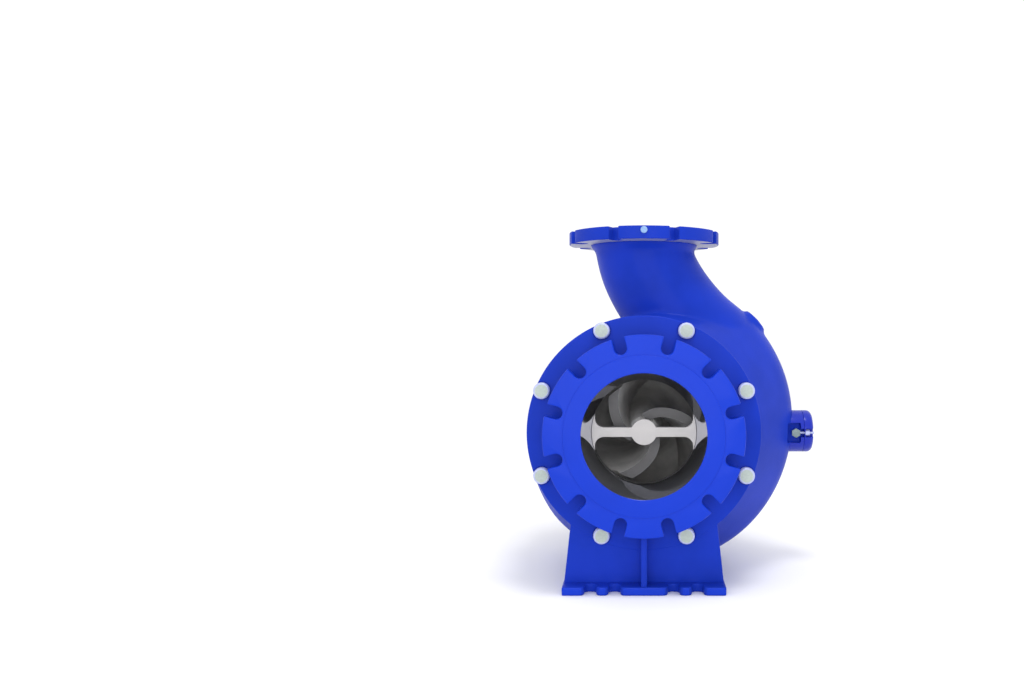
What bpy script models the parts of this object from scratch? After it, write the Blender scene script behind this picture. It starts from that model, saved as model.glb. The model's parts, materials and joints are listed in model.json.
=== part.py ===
"""A horizontal end-suction screw centrifugal pump on two feet.

Metres, +Z up. The suction flange faces -Y and the discharge flange faces +Z.
The origin is on the floor, under the pump's axis, at the middle of the front foot.
Angles round the pump's axis run from +X towards +Z, anticlockwise as seen from the suction side.
"""

import math

import bmesh
import bpy
from mathutils import Matrix, Quaternion, Vector

# Stations along the pump's axis
SUCTION_Y = -0.095
COVER_FACE_Y = -0.029
CASING_FRONT_Y = 0.0
DISCHARGE_Y = 0.194
CASING_BACK_Y = 0.324
BACK_COVER_END_Y = 0.349
FRAME_END_Y = 0.594
SHAFT_STEP_Y = 0.639
SHAFT_END_Y = 0.729

AXIS_Z = 0.3244
GAP = 0.0003

# Suction flange, ten inch, class 150, with open bolt slots
SUCTION_FLANGE_R = 0.2032
SUCTION_FLANGE_T = 0.030
SUCTION_RAISED_R = 0.162
SUCTION_BOLT_CIRCLE_R = 0.181
SUCTION_SLOT_R = 0.0127
SUCTION_SLOTS = 12
SUCTION_BORE_R = 0.126
SUCTION_NECK_R = 0.150
EYE_R = 0.109
RAISED_FACE_T = 0.0016
FLANGE_EDGE = 0.003
NECK_FILLET = 0.005

# Discharge flange, eight inch, class 150, with open bolt slots
DISCHARGE_FLANGE_R = 0.17145
DISCHARGE_TOP_Z = 0.758
DISCHARGE_UNDER_Z = 0.730
DISCHARGE_EDGE = 0.0015
DISCHARGE_RAISED_R = 0.135
DISCHARGE_BOLT_CIRCLE_R = 0.1492
DISCHARGE_SLOT_R = 0.0111
DISCHARGE_SLOTS = 8
DISCHARGE_BORE_R = 0.1015
GAUGE_PLUG_Z = 0.7485
GAUGE_PLUG_R = 0.0074
GAUGE_STEM_R = 0.0058
GAUGE_STEM_DEPTH = 0.008
GAUGE_HEAD_T = 0.004

# Suction cover and its bolts
COVER_R = 0.242
COVER_EDGE = 0.002
COVER_FILLET = 0.006
BOLT_CIRCLE_R = 0.2275
BOLT_COUNT = 8
BOLT_HOLE_R = 0.0085
BOLT_SHANK_R = 0.0080
BOLT_HEAD_R = 0.0170
BOLT_HEAD_T = 0.012
BOLT_HEAD_EDGE = 0.003
BOLT_DEPTH = 0.018
BACK_BOLT_HEAD_R = 0.0139
BACK_BOLT_HEAD_T = 0.010

# Front foot, cast in one with the suction cover
FOOT_HALF_X = 0.1664
FOOT_HALF_Y = 0.066
FOOT_T = 0.017
WEB_T = 0.020
WEB_STEP = 0.001
WEB_TOP_Z = 0.150
WEB_HALF_TOP = 0.150
RIB_T = 0.0125
RIB_TOE_Y = -0.062
RIB_KNEE = (-0.058, 0.100)
RIB_TOP_Y = -0.048
RIB_TOP_SINK = 0.012
GUSSET_X = 0.125
GUSSET_T = 0.012
GUSSET_TOE = 0.012
GUSSET_TOP_Z = 0.078
FOOT_SLOT_R = 0.012
FOOT_SLOT_DEPTH = 0.028
FOOT_SLOT_X = (0.060, 0.109)

# Volute casing: reach is the outer radius, girth the radius of the round section
CHAMBER_R = 0.200
SHOULDER_R = 0.226
RING_T = 0.025
CASING_WALL = 0.013
VOLUTE_REACH = (
    (42, 0.3425), (81, 0.276), (120, 0.216), (150, 0.240), (180, 0.262), (212, 0.2855), (230, 0.2996),
    (270, 0.3156), (301, 0.3338), (347, 0.339), (375, 0.342), (402, 0.3425),
)
GIRTH_START = 0.040
GIRTH_END = 0.110
TONGUE_DEG = 120
THROAT_DEG = 402
VOLUTE_STATIONS = 36
VOLUTE_Y = (0.004, 0.050, 0.093, 0.118, 0.142, 0.164, 0.184, 0.204, 0.224, 0.246, 0.270, 0.295, 0.320)

# Discharge neck: a Bezier line in the plane across the axis, measured from the axis
NECK_LINE = ((0.1453, 0.1815), (0.0860, 0.2214), (-0.0050, 0.3384), (0.0008, 0.4084))
NECK_TOP_R = 0.115
NECK_ROOT_DEG = (372, 382, 392)
NECK_ROOT_SINK = (0.008, 0.006, 0.003)
NECK_BEZIER_STEPS = 9

# Top boss and side port of the casing
BOSS_DEG = 42.3
BOSS_R = 0.032
BOSS_EDGE = 0.006
BOSS_REACH = 0.352
BOSS_ROOT = 0.27
BOSS_PLUG_R = 0.0131
BOSS_PLUG_DEPTH = 0.008
PORT_Z = 0.3037
PORT_R = 0.0475
PORT_BORE_R = 0.026
PORT_ROOT_X = 0.27
PORT_SEAM_X = 0.362
PORT_END_X = 0.384
PORT_EDGE = 0.005
SWING_OFFSET = 0.0385
PIVOT_X = 0.3432
PIVOT_HEAD_R = 0.0105
PIVOT_HEAD_T = 0.005
PIVOT_R = 0.0038
PIVOT_DEPTH = 0.007
POCKET_START_X = 0.3285
POCKET_END_X = 0.3545
POCKET_HALF_Z = 0.0225
POCKET_FLOOR = 0.0345
SLOT_HALF_Z = 0.0097
SLOT_FLOOR = 0.0305
SWING_EYE_R = 0.0078
SWING_EYE_T = 0.0070
SWING_SHANK_R = 0.0025
NUT_SEAT_X = 0.3645
NUT_R = 0.0074
NUT_T = 0.010

# Wear liner and impeller
LINER_T = 0.010
LINER_CONE_START_Y = 0.024
LINER_CONE_END_Y = 0.140
LINER_CONE_END_R = 0.188
LINER_RIM_R = 0.1985
LINER_RIM_T = 0.012
VANE_T = 0.020
VANE_COUNT = 3
VANE_FRONT_Y = 0.012
VANE_FRONT_R = 0.103
VANE_TRIM = 0.012
RUNNING_GAP = 0.006
VANE_INNER_R = 0.027
VANE_START_R = 0.036
VANE_START_DEG = 69.8
VANE_SPIRAL_DEG = 59.0
VANE_TWIST_DEG_PER_M = -175.0
IMPELLER_R = 0.1805
SHROUD_FRONT_Y = 0.240
SHROUD_BACK_Y = 0.254
IMPELLER_BACK_Y = 0.269
SHAFT_NOSE_Y = 0.150
HUB_LINE = ((0.026, 0.020), (0.030, 0.026), (0.038, 0.110), (0.052, 0.185), (0.078, 0.234), (0.090, 0.240))
HUB_BACK_R = 0.046
NOSE_NUT_LINE = ((0.0, 0.006), (0.008, 0.0072), (0.014, 0.0105), (0.0175, 0.0165))

# Inlet guide bar
BAR_HALF = 0.0099
BAR_HUB_R = 0.0269
BAR_FILLET_R = 0.019
BAR_FILLET_X = 0.083
BAR_Y = (-0.016, -0.001)

# Shaft and bearing frame
SHAFT_SEAL_R = 0.0300
SHAFT_NOSE_R = 0.0222
SHAFT_END_R = 0.0240
BEARING_BORE_R = 0.0303
SEAL_BORE_R = 0.0315
SPIGOT_GAP = 0.012
SEAL_POCKET_DEPTH = 0.030
SEAL_POCKET_R = 0.062
GLAND_R = 0.046
GLAND_STEP_T = 0.012
GLAND_T = 0.024
FRAME_BARREL_R = 0.090
FRAME_FLANGE_T = 0.018
LANTERN_FRONT_R = 0.120
LANTERN_WALL = 0.015
LANTERN_LENGTH = 0.085
LANTERN_WINDOW_Y = (0.0245, 0.0755)
LANTERN_WINDOW_X = (0.055, 0.140)
LANTERN_WINDOW_HALF_Z = 0.044
FRAME_RIB_LINE = ((0.010, 0.085), (0.010, 0.144), (0.150, 0.094), (0.150, 0.082))
FRAME_RIB_T = 0.012
BARREL_SINK = 0.010
FRAME_FLANGE_R = 0.150
CAP_R = 0.102
CAP_T = 0.013
CAP_NOSE_R = 0.052
CAP_NOSE_T = 0.024
KEY_WIDTH = 0.014
KEY_FLOOR = 0.0185
KEY_TOP = 0.0275
PAD_BOTTOM_Z = 0.2094
REAR_FOOT_Y = 0.5465
REAR_FOOT_HALF = (0.110, 0.042)
REAR_FOOT_T = 0.014
REAR_PAD_HALF = (0.036, 0.030)
REAR_TOP_HALF_X = 0.044
REAR_WEB_T = 0.014
REAR_RIB_T = 0.012
REAR_HOLE_X = 0.080
REAR_HOLE_R = 0.009
OIL_Y = 0.509
DRAIN_Y = 0.484
SIGHT_Z = AXIS_Z - 0.018
OIL_BOSS_R = 0.096
FILL_BOSS_R = 0.016
FILL_CAP_NECK_R = 0.0135
FILL_CAP_R = 0.017
FILL_CAP_H = 0.021
SIGHT_BOSS_R = 0.020
SIGHT_R = 0.016
SIGHT_T = 0.006
DRAIN_BOSS_R = 0.013
DRAIN_HEAD_R = 0.0095
DRAIN_HEAD_T = 0.009

PUMP = bpy.data.collections.new("screw_pump")
CUTTERS = bpy.data.collections.new("cutters")


def clear_scene():
    for obj in list(bpy.data.objects):
        bpy.data.objects.remove(obj)
    for collection in (PUMP, CUTTERS):
        bpy.context.scene.collection.children.link(collection)


def material(name, colour, roughness, metallic):
    made = bpy.data.materials.new(name)
    made.use_nodes = True
    shader = made.node_tree.nodes["Principled BSDF"]
    shader.inputs["Base Color"].default_value = (*colour, 1.0)
    shader.inputs["Roughness"].default_value = roughness
    shader.inputs["Metallic"].default_value = metallic
    return made


def add_object(name, data, finish=None):
    """A piece when it has a finish, and otherwise a cutter that is left out of the render."""
    obj = bpy.data.objects.new(name, data)
    if finish is None:
        CUTTERS.objects.link(obj)
        obj.hide_render = True
        obj.display_type = "WIRE"
    else:
        PUMP.objects.link(obj)
        data.materials.append(finish)
    return obj


def mesh_from(name, bm):
    bmesh.ops.recalc_face_normals(bm, faces=bm.faces)
    data = bpy.data.meshes.new(name)
    bm.to_mesh(data)
    bm.free()
    return data


def box(name, low, high, finish=None):
    bm = bmesh.new()
    bmesh.ops.create_cube(bm, size=1.0)
    size = [b - a for a, b in zip(low, high)]
    middle = [(a + b) / 2 for a, b in zip(low, high)]
    bmesh.ops.scale(bm, vec=size, verts=bm.verts)
    bmesh.ops.translate(bm, vec=middle, verts=bm.verts)
    return add_object(name, mesh_from(name, bm), finish)


def rod(name, start, end, radius, sides, finish=None, end_radius=None):
    """A cylinder, prism or cone between two points."""
    start, end = Vector(start), Vector(end)
    line = end - start
    turn = line.to_track_quat("Z", "Y").to_matrix().to_4x4()
    bm = bmesh.new()
    bmesh.ops.create_cone(
        bm,
        cap_ends=True,
        segments=sides,
        radius1=radius,
        radius2=radius if end_radius is None else end_radius,
        depth=line.length,
        matrix=Matrix.Translation((start + end) / 2) @ turn,
    )
    return add_object(name, mesh_from(name, bm), finish)


def signed_area(points):
    return sum(a[0] * b[1] - b[0] * a[1] for a, b in zip(points, points[1:] + points[:1])) / 2


def turned(name, profile, sides, finish=None, origin=(0.0, 0.0, AXIS_Z), direction=(0.0, 1.0, 0.0)):
    """A profile of (radius, station) points turned round a line.

    It is a ring, unless its first and last points are on the line. Its facets meet half a step from the
    main planes, so that no corner of it lies exactly on a corner of what it joins.
    """
    points = list(profile)
    if signed_area(points) > 0:
        points.reverse()
    solid = points[0][0] == 0.0 and points[-1][0] == 0.0
    data = bpy.data.meshes.new(name)
    edges = [(i, i + 1) for i in range(len(points) - 1)]
    if not solid:
        edges.append((len(points) - 1, 0))
    data.from_pydata([(r, 0.0, h) for r, h in points], edges, [])
    obj = add_object(name, data, finish)
    obj.location = origin
    obj.rotation_mode = "QUATERNION"
    half_step = Quaternion((0.0, 0.0, 1.0), math.pi / sides)
    obj.rotation_quaternion = Vector(direction).to_track_quat("Z", "Y") @ half_step
    screw = obj.modifiers.new("turn", "SCREW")
    screw.axis = "Z"
    screw.steps = sides
    screw.render_steps = sides
    screw.use_merge_vertices = True
    screw.merge_threshold = 0.00005
    return obj


def mesh_of(name, obj, finish=None):
    """The mesh of a curve object, welded where its caps meet its sides. The curve is removed."""
    bpy.context.view_layer.update()
    graph = bpy.context.evaluated_depsgraph_get()
    data = bpy.data.meshes.new_from_object(obj.evaluated_get(graph))
    place = obj.matrix_world.copy()
    bpy.data.objects.remove(obj)
    bm = bmesh.new()
    bm.from_mesh(data)
    bmesh.ops.remove_doubles(bm, verts=bm.verts, dist=0.00002)
    made = mesh_from(name, bm)
    made.materials.clear()
    result = add_object(name, made, finish)
    result.matrix_world = place
    return result


def outline_solid(name, points, low, high, plane, finish=None):
    """A flat outline given thickness, from low to high: along Y in plane XZ, along X in plane YZ."""
    curve = bpy.data.curves.new(name, "CURVE")
    curve.dimensions = "2D"
    curve.fill_mode = "BOTH"
    curve.extrude = (high - low) / 2
    spline = curve.splines.new("POLY")
    spline.points.add(len(points) - 1)
    for point, (a, b) in zip(spline.points, points):
        point.co = (a, b, 0.0, 1.0)
    spline.use_cyclic_u = True
    obj = bpy.data.objects.new(name, curve)
    CUTTERS.objects.link(obj)
    middle = (low + high) / 2
    if plane == "XZ":
        obj.matrix_world = Matrix.Translation((0.0, middle, 0.0)) @ Matrix.Rotation(math.pi / 2, 4, "X")
    else:
        axes = Matrix(((0, 0, 1), (1, 0, 0), (0, 1, 0))).to_4x4()
        obj.matrix_world = Matrix.Translation((middle, 0.0, 0.0)) @ axes
    return mesh_of(name, obj, finish)


def tube(name, points, radii, bevel_resolution):
    """A tube whose radius changes along its line, with filled caps."""
    curve = bpy.data.curves.new(name, "CURVE")
    curve.dimensions = "3D"
    curve.bevel_depth = 1.0
    curve.bevel_resolution = bevel_resolution
    curve.use_fill_caps = True
    spline = curve.splines.new("POLY")
    spline.points.add(len(points) - 1)
    for point, place, radius in zip(spline.points, points, radii):
        point.co = (*place, 1.0)
        point.radius = radius
    obj = bpy.data.objects.new(name, curve)
    CUTTERS.objects.link(obj)
    return mesh_of(name, obj)


def boolean(target, operation, *tools):
    for tool in tools:
        modifier = target.modifiers.new(tool.name, "BOOLEAN")
        modifier.operation = operation
        modifier.object = tool
        modifier.solver = "EXACT"


def round_axis(radius, degrees, y):
    """A point at a radius and an angle round the pump's axis."""
    angle = math.radians(degrees)
    return Vector((radius * math.cos(angle), y, AXIS_Z + radius * math.sin(angle)))


def arc(centre, radius, start_deg, end_deg, steps):
    """Points on a circle, from one angle to another."""
    points = []
    for i in range(steps + 1):
        angle = math.radians(start_deg + (end_deg - start_deg) * i / steps)
        points.append((centre[0] + radius * math.cos(angle), centre[1] + radius * math.sin(angle)))
    return points


def smooth_value(table, x):
    """The value at x of a smooth curve through the table's points."""
    xs = [p[0] for p in table]
    ys = [p[1] for p in table]
    slopes = []
    for i in range(len(table)):
        a, b = max(i - 1, 0), min(i + 1, len(table) - 1)
        slopes.append((ys[b] - ys[a]) / (xs[b] - xs[a]))
    i = max(k for k in range(len(table) - 1) if xs[k] <= x or k == 0)
    width = xs[i + 1] - xs[i]
    t = (x - xs[i]) / width
    return (
        ys[i] * (1 + 2 * t) * (1 - t) ** 2
        + slopes[i] * width * t * (1 - t) ** 2
        + ys[i + 1] * t * t * (3 - 2 * t)
        + slopes[i + 1] * width * t * t * (t - 1)
    )


def reach(degrees):
    """The casing's outer radius at an angle, from the throat round to the throat again."""
    return smooth_value(VOLUTE_REACH, degrees)


def girth(degrees):
    """The radius of the volute's round section. It grows from the tongue to the throat."""
    if degrees < TONGUE_DEG:
        start = THROAT_DEG - 360
        share = (TONGUE_DEG - degrees) / (TONGUE_DEG - start)
    else:
        share = (degrees - TONGUE_DEG) / (THROAT_DEG - TONGUE_DEG)
    return GIRTH_START + (GIRTH_END - GIRTH_START) * share


def hull_radius(y, corner_r, ends, centre_r, section_r):
    """The radius at station y of the line drawn tight over both end rings and the round section."""
    if centre_r + section_r <= corner_r:
        return corner_r
    tangents = []
    for end in ends:
        out = Vector((end - DISCHARGE_Y, corner_r - centre_r))
        spread = math.acos(min(1.0, section_r / out.length))
        bearing = math.atan2(out.y, out.x)
        bearing += -spread if end < DISCHARGE_Y else spread
        tangent_y = DISCHARGE_Y + section_r * math.cos(bearing)
        tangents.append((tangent_y, centre_r + section_r * math.sin(bearing)))
    (front_y, front_r), (back_y, back_r) = tangents
    if y < front_y:
        return corner_r + (front_r - corner_r) * (y - ends[0]) / (front_y - ends[0])
    if y > back_y:
        return corner_r + (back_r - corner_r) * (ends[1] - y) / (ends[1] - back_y)
    return centre_r + math.sqrt(max(0.0, section_r**2 - (y - DISCHARGE_Y) ** 2))


def volute_body(name, wall, corner_r, finish=None):
    """The spiral body: a loft round the axis whose section changes all the way.

    With a wall it is the hollow inside that body.
    """
    ends = (VOLUTE_Y[0], VOLUTE_Y[-1])
    rows = []
    bm = bmesh.new()
    for i in range(VOLUTE_STATIONS):
        degrees = THROAT_DEG - 360 + 360 * i / VOLUTE_STATIONS
        section_r = girth(degrees)
        centre_r = reach(degrees) - section_r
        row = []
        for y in VOLUTE_Y:
            radius = hull_radius(y, corner_r, ends, centre_r, section_r - wall)
            row.append(bm.verts.new(round_axis(radius, degrees, y)))
        if wall:
            row.insert(0, bm.verts.new(round_axis(corner_r, degrees, CASING_FRONT_Y - 0.01)))
            row.append(bm.verts.new(round_axis(corner_r, degrees, CASING_BACK_Y + 0.01)))
        rows.append(row)
    for row, after in zip(rows, rows[1:] + rows[:1]):
        for k in range(len(row) - 1):
            bm.faces.new((row[k], row[k + 1], after[k + 1], after[k]))
    bm.faces.new([row[0] for row in rows])
    bm.faces.new([row[-1] for row in rows])
    return add_object(name, mesh_from(name, bm), finish)


def neck_points():
    """The neck's line from inside the volute to above the flange."""
    points = [round_axis(reach(d) - girth(d), d, DISCHARGE_Y) for d in NECK_ROOT_DEG]
    p0, p1, p2, p3 = (Vector(p) for p in NECK_LINE)
    for i in range(NECK_BEZIER_STEPS + 1):
        t = i / NECK_BEZIER_STEPS
        p = (1 - t) ** 3 * p0 + 3 * (1 - t) ** 2 * t * p1 + 3 * (1 - t) * t * t * p2 + t**3 * p3
        points.append(Vector((p.x, DISCHARGE_Y, AXIS_Z + p.y)))
    return points


def u_slot(name, centre_r, slot_r, outer_r, degrees, along, low, high, origin):
    """A cutter for a bolt slot that is open at a flange's rim."""
    outline = arc((centre_r, 0.0), slot_r, 90, 270, 7) + [(outer_r, -slot_r), (outer_r, slot_r)]
    turn = math.radians(degrees)
    across = [
        (x * math.cos(turn) - y * math.sin(turn), x * math.sin(turn) + y * math.cos(turn)) for x, y in outline
    ]
    if along == "Y":
        points = [(origin[0] + x, origin[2] + z) for x, z in across]
        return outline_solid(name, points, low, high, "XZ")
    cutter = outline_solid(name, across, -high, -low, "XZ")
    upright = Matrix.Rotation(-math.pi / 2, 4, "X") @ cutter.matrix_world
    cutter.matrix_world = Matrix.Translation(origin) @ upright
    return cutter


def foot_slot(name, x, sign):
    """A cutter for a slot that is open at the foot's front or back edge."""
    edge = FOOT_HALF_Y * sign
    centre = edge - sign * (FOOT_SLOT_DEPTH - FOOT_SLOT_R)
    channel = box(
        name,
        (x - FOOT_SLOT_R, min(centre, edge + 0.01 * sign), -0.01),
        (x + FOOT_SLOT_R, max(centre, edge + 0.01 * sign), FOOT_T + 0.01),
    )
    round_end = rod(name + "_end", (x, centre, -0.012), (x, centre, FOOT_T + 0.012), FOOT_SLOT_R, 16)
    return channel, round_end


def side_box(name, side, floor, start_x, end_x, half_z):
    """A cutter at the front or back of the side port, from a floor at a distance from its middle outwards."""
    near, far = sorted((DISCHARGE_Y + side * floor, DISCHARGE_Y + side * (floor + 0.04)))
    return box(name, (start_x, near, PORT_Z - half_z), (end_x, far, PORT_Z + half_z))


def side_rod(name, side, low, high, radius, sides, finish=None):
    """A rod on the swing bolt's pivot line, between two distances from the port's middle."""
    start = (PIVOT_X, DISCHARGE_Y + side * low, PORT_Z)
    end = (PIVOT_X, DISCHARGE_Y + side * high, PORT_Z)
    return rod(name, start, end, radius, sides, finish)


def make_suction_cover(paint):
    """Flange, neck, cover plate and front foot, which are one casting."""
    flange_back = SUCTION_Y + SUCTION_FLANGE_T
    profile = [
        (SUCTION_BORE_R, SUCTION_Y),
        (SUCTION_RAISED_R, SUCTION_Y),
        (SUCTION_RAISED_R, SUCTION_Y + RAISED_FACE_T),
        (SUCTION_FLANGE_R - FLANGE_EDGE, SUCTION_Y + RAISED_FACE_T),
        (SUCTION_FLANGE_R, SUCTION_Y + RAISED_FACE_T + FLANGE_EDGE),
        (SUCTION_FLANGE_R, flange_back),
        (SUCTION_NECK_R + NECK_FILLET, flange_back),
        (SUCTION_NECK_R, flange_back + NECK_FILLET),
        (SUCTION_NECK_R, COVER_FACE_Y - COVER_FILLET),
        (SUCTION_NECK_R + COVER_FILLET, COVER_FACE_Y),
        (COVER_R - COVER_EDGE, COVER_FACE_Y),
        (COVER_R, COVER_FACE_Y + COVER_EDGE),
        (COVER_R, CASING_FRONT_Y - GAP),
        (EYE_R, CASING_FRONT_Y - GAP),
        (EYE_R, BAR_Y[0] - 0.0005),
    ]
    cover = turned("suction_cover", profile, 56, paint)
    web_front = COVER_FACE_Y + WEB_STEP
    web_outline = [
        (-FOOT_HALF_X + 0.001, FOOT_T / 2),
        (FOOT_HALF_X - 0.001, FOOT_T / 2),
        (WEB_HALF_TOP, WEB_TOP_Z),
        (-WEB_HALF_TOP, WEB_TOP_Z),
    ]
    web = outline_solid("foot_web", web_outline, web_front, web_front + WEB_T, "XZ")
    base = box("foot_base", (-FOOT_HALF_X, -FOOT_HALF_Y, 0.0), (FOOT_HALF_X, FOOT_HALF_Y, FOOT_T))
    neck_bottom = AXIS_Z - SUCTION_NECK_R
    rib_outline = [
        (RIB_TOE_Y, FOOT_T / 2),
        (COVER_FACE_Y + WEB_T / 2, FOOT_T / 2),
        (COVER_FACE_Y + WEB_T / 2, neck_bottom + RIB_TOP_SINK),
        (RIB_TOP_Y, neck_bottom + RIB_TOP_SINK),
        RIB_KNEE,
    ]
    rib = outline_solid("foot_rib", rib_outline, -RIB_T / 2, RIB_T / 2, "YZ")
    boolean(cover, "UNION", web, base, rib)
    gusset_outline = [
        (web_front + WEB_T / 2, FOOT_T / 2),
        (FOOT_HALF_Y - GUSSET_TOE, FOOT_T / 2),
        (web_front + WEB_T / 2, GUSSET_TOP_Z),
    ]
    for x in (-GUSSET_X, GUSSET_X):
        low, high = x - GUSSET_T / 2, x + GUSSET_T / 2
        gusset = outline_solid(f"foot_gusset_{x:+.2f}", gusset_outline, low, high, "YZ")
        boolean(cover, "UNION", gusset)
    for k in range(SUCTION_SLOTS):
        degrees = 15 + 360 / SUCTION_SLOTS * k
        slot = u_slot(
            f"suction_slot_{k + 1}", SUCTION_BOLT_CIRCLE_R, SUCTION_SLOT_R, SUCTION_FLANGE_R + 0.03,
            degrees, "Y", SUCTION_Y - 0.01, flange_back + 0.002, (0.0, 0.0, AXIS_Z),
        )
        boolean(cover, "DIFFERENCE", slot)
    for k in range(BOLT_COUNT):
        centre = round_axis(BOLT_CIRCLE_R, 22.5 + 45 * k, COVER_FACE_Y - 0.01)
        hole = rod(f"cover_hole_{k + 1}", centre, centre + Vector((0, 0.045, 0)), BOLT_HOLE_R, 12)
        boolean(cover, "DIFFERENCE", hole)
    for x in FOOT_SLOT_X:
        for side in (-1, 1):
            for sign in (-1, 1):
                boolean(cover, "DIFFERENCE", *foot_slot(f"foot_slot_{side * x:+.2f}_{sign}", side * x, sign))
    return cover


def make_cover_bolts(zinc):
    for k in range(BOLT_COUNT):
        place = round_axis(BOLT_CIRCLE_R, 22.5 + 45 * k, COVER_FACE_Y)
        profile = [
            (0.0, -BOLT_HEAD_T),
            (BOLT_HEAD_R - BOLT_HEAD_EDGE, -BOLT_HEAD_T),
            (BOLT_HEAD_R, -BOLT_HEAD_T + BOLT_HEAD_EDGE),
            (BOLT_HEAD_R, -GAP),
            (BOLT_SHANK_R, -GAP),
            (BOLT_SHANK_R, -COVER_FACE_Y + BOLT_DEPTH),
            (0.0, -COVER_FACE_Y + BOLT_DEPTH),
        ]
        turned(f"cover_bolt_{k + 1}", profile, 16, zinc, place)


def make_inlet_bar(metal):
    """A flat bar across the eye, with a round hub and flared ends that meet the bore."""
    tip_r = EYE_R - GAP
    tip_deg = math.degrees(math.acos((BAR_FILLET_X + BAR_FILLET_R) / tip_r))
    hub_deg = math.degrees(math.asin(BAR_HALF / BAR_HUB_R))
    upper = arc((0, 0), tip_r, 0, tip_deg, 3)
    upper += arc((BAR_FILLET_X, BAR_HALF + BAR_FILLET_R), BAR_FILLET_R, 0, -90, 6)
    upper += arc((0, 0), BAR_HUB_R, hub_deg, 90, 5)
    left = [(-x, z) for x, z in reversed(upper[:-1])]
    top = upper + left
    bottom = [(-x, -z) for x, z in top[1:-1]]
    points = [(x, AXIS_Z + z) for x, z in top + bottom]
    return outline_solid("inlet_bar", points, BAR_Y[0], BAR_Y[1], "XZ", metal)


def liner_normal():
    """The cone's direction and its outward normal, as (radius, station)."""
    line = Vector((LINER_CONE_END_R - EYE_R, LINER_CONE_END_Y - LINER_CONE_START_Y)).normalized()
    return line, Vector((line.y, -line.x))


def make_wear_liner(iron):
    out = liner_normal()[1] * LINER_T
    start = Vector((EYE_R, LINER_CONE_START_Y))
    end = Vector((LINER_CONE_END_R, LINER_CONE_END_Y))
    profile = [
        (EYE_R, CASING_FRONT_Y),
        (LINER_RIM_R, CASING_FRONT_Y),
        (LINER_RIM_R, CASING_FRONT_Y + LINER_RIM_T),
        (EYE_R + LINER_T, CASING_FRONT_Y + LINER_RIM_T),
        tuple(start + out),
        tuple(end + out),
        tuple(end),
        tuple(start),
    ]
    return turned("wear_liner", profile, 48, iron)


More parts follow.
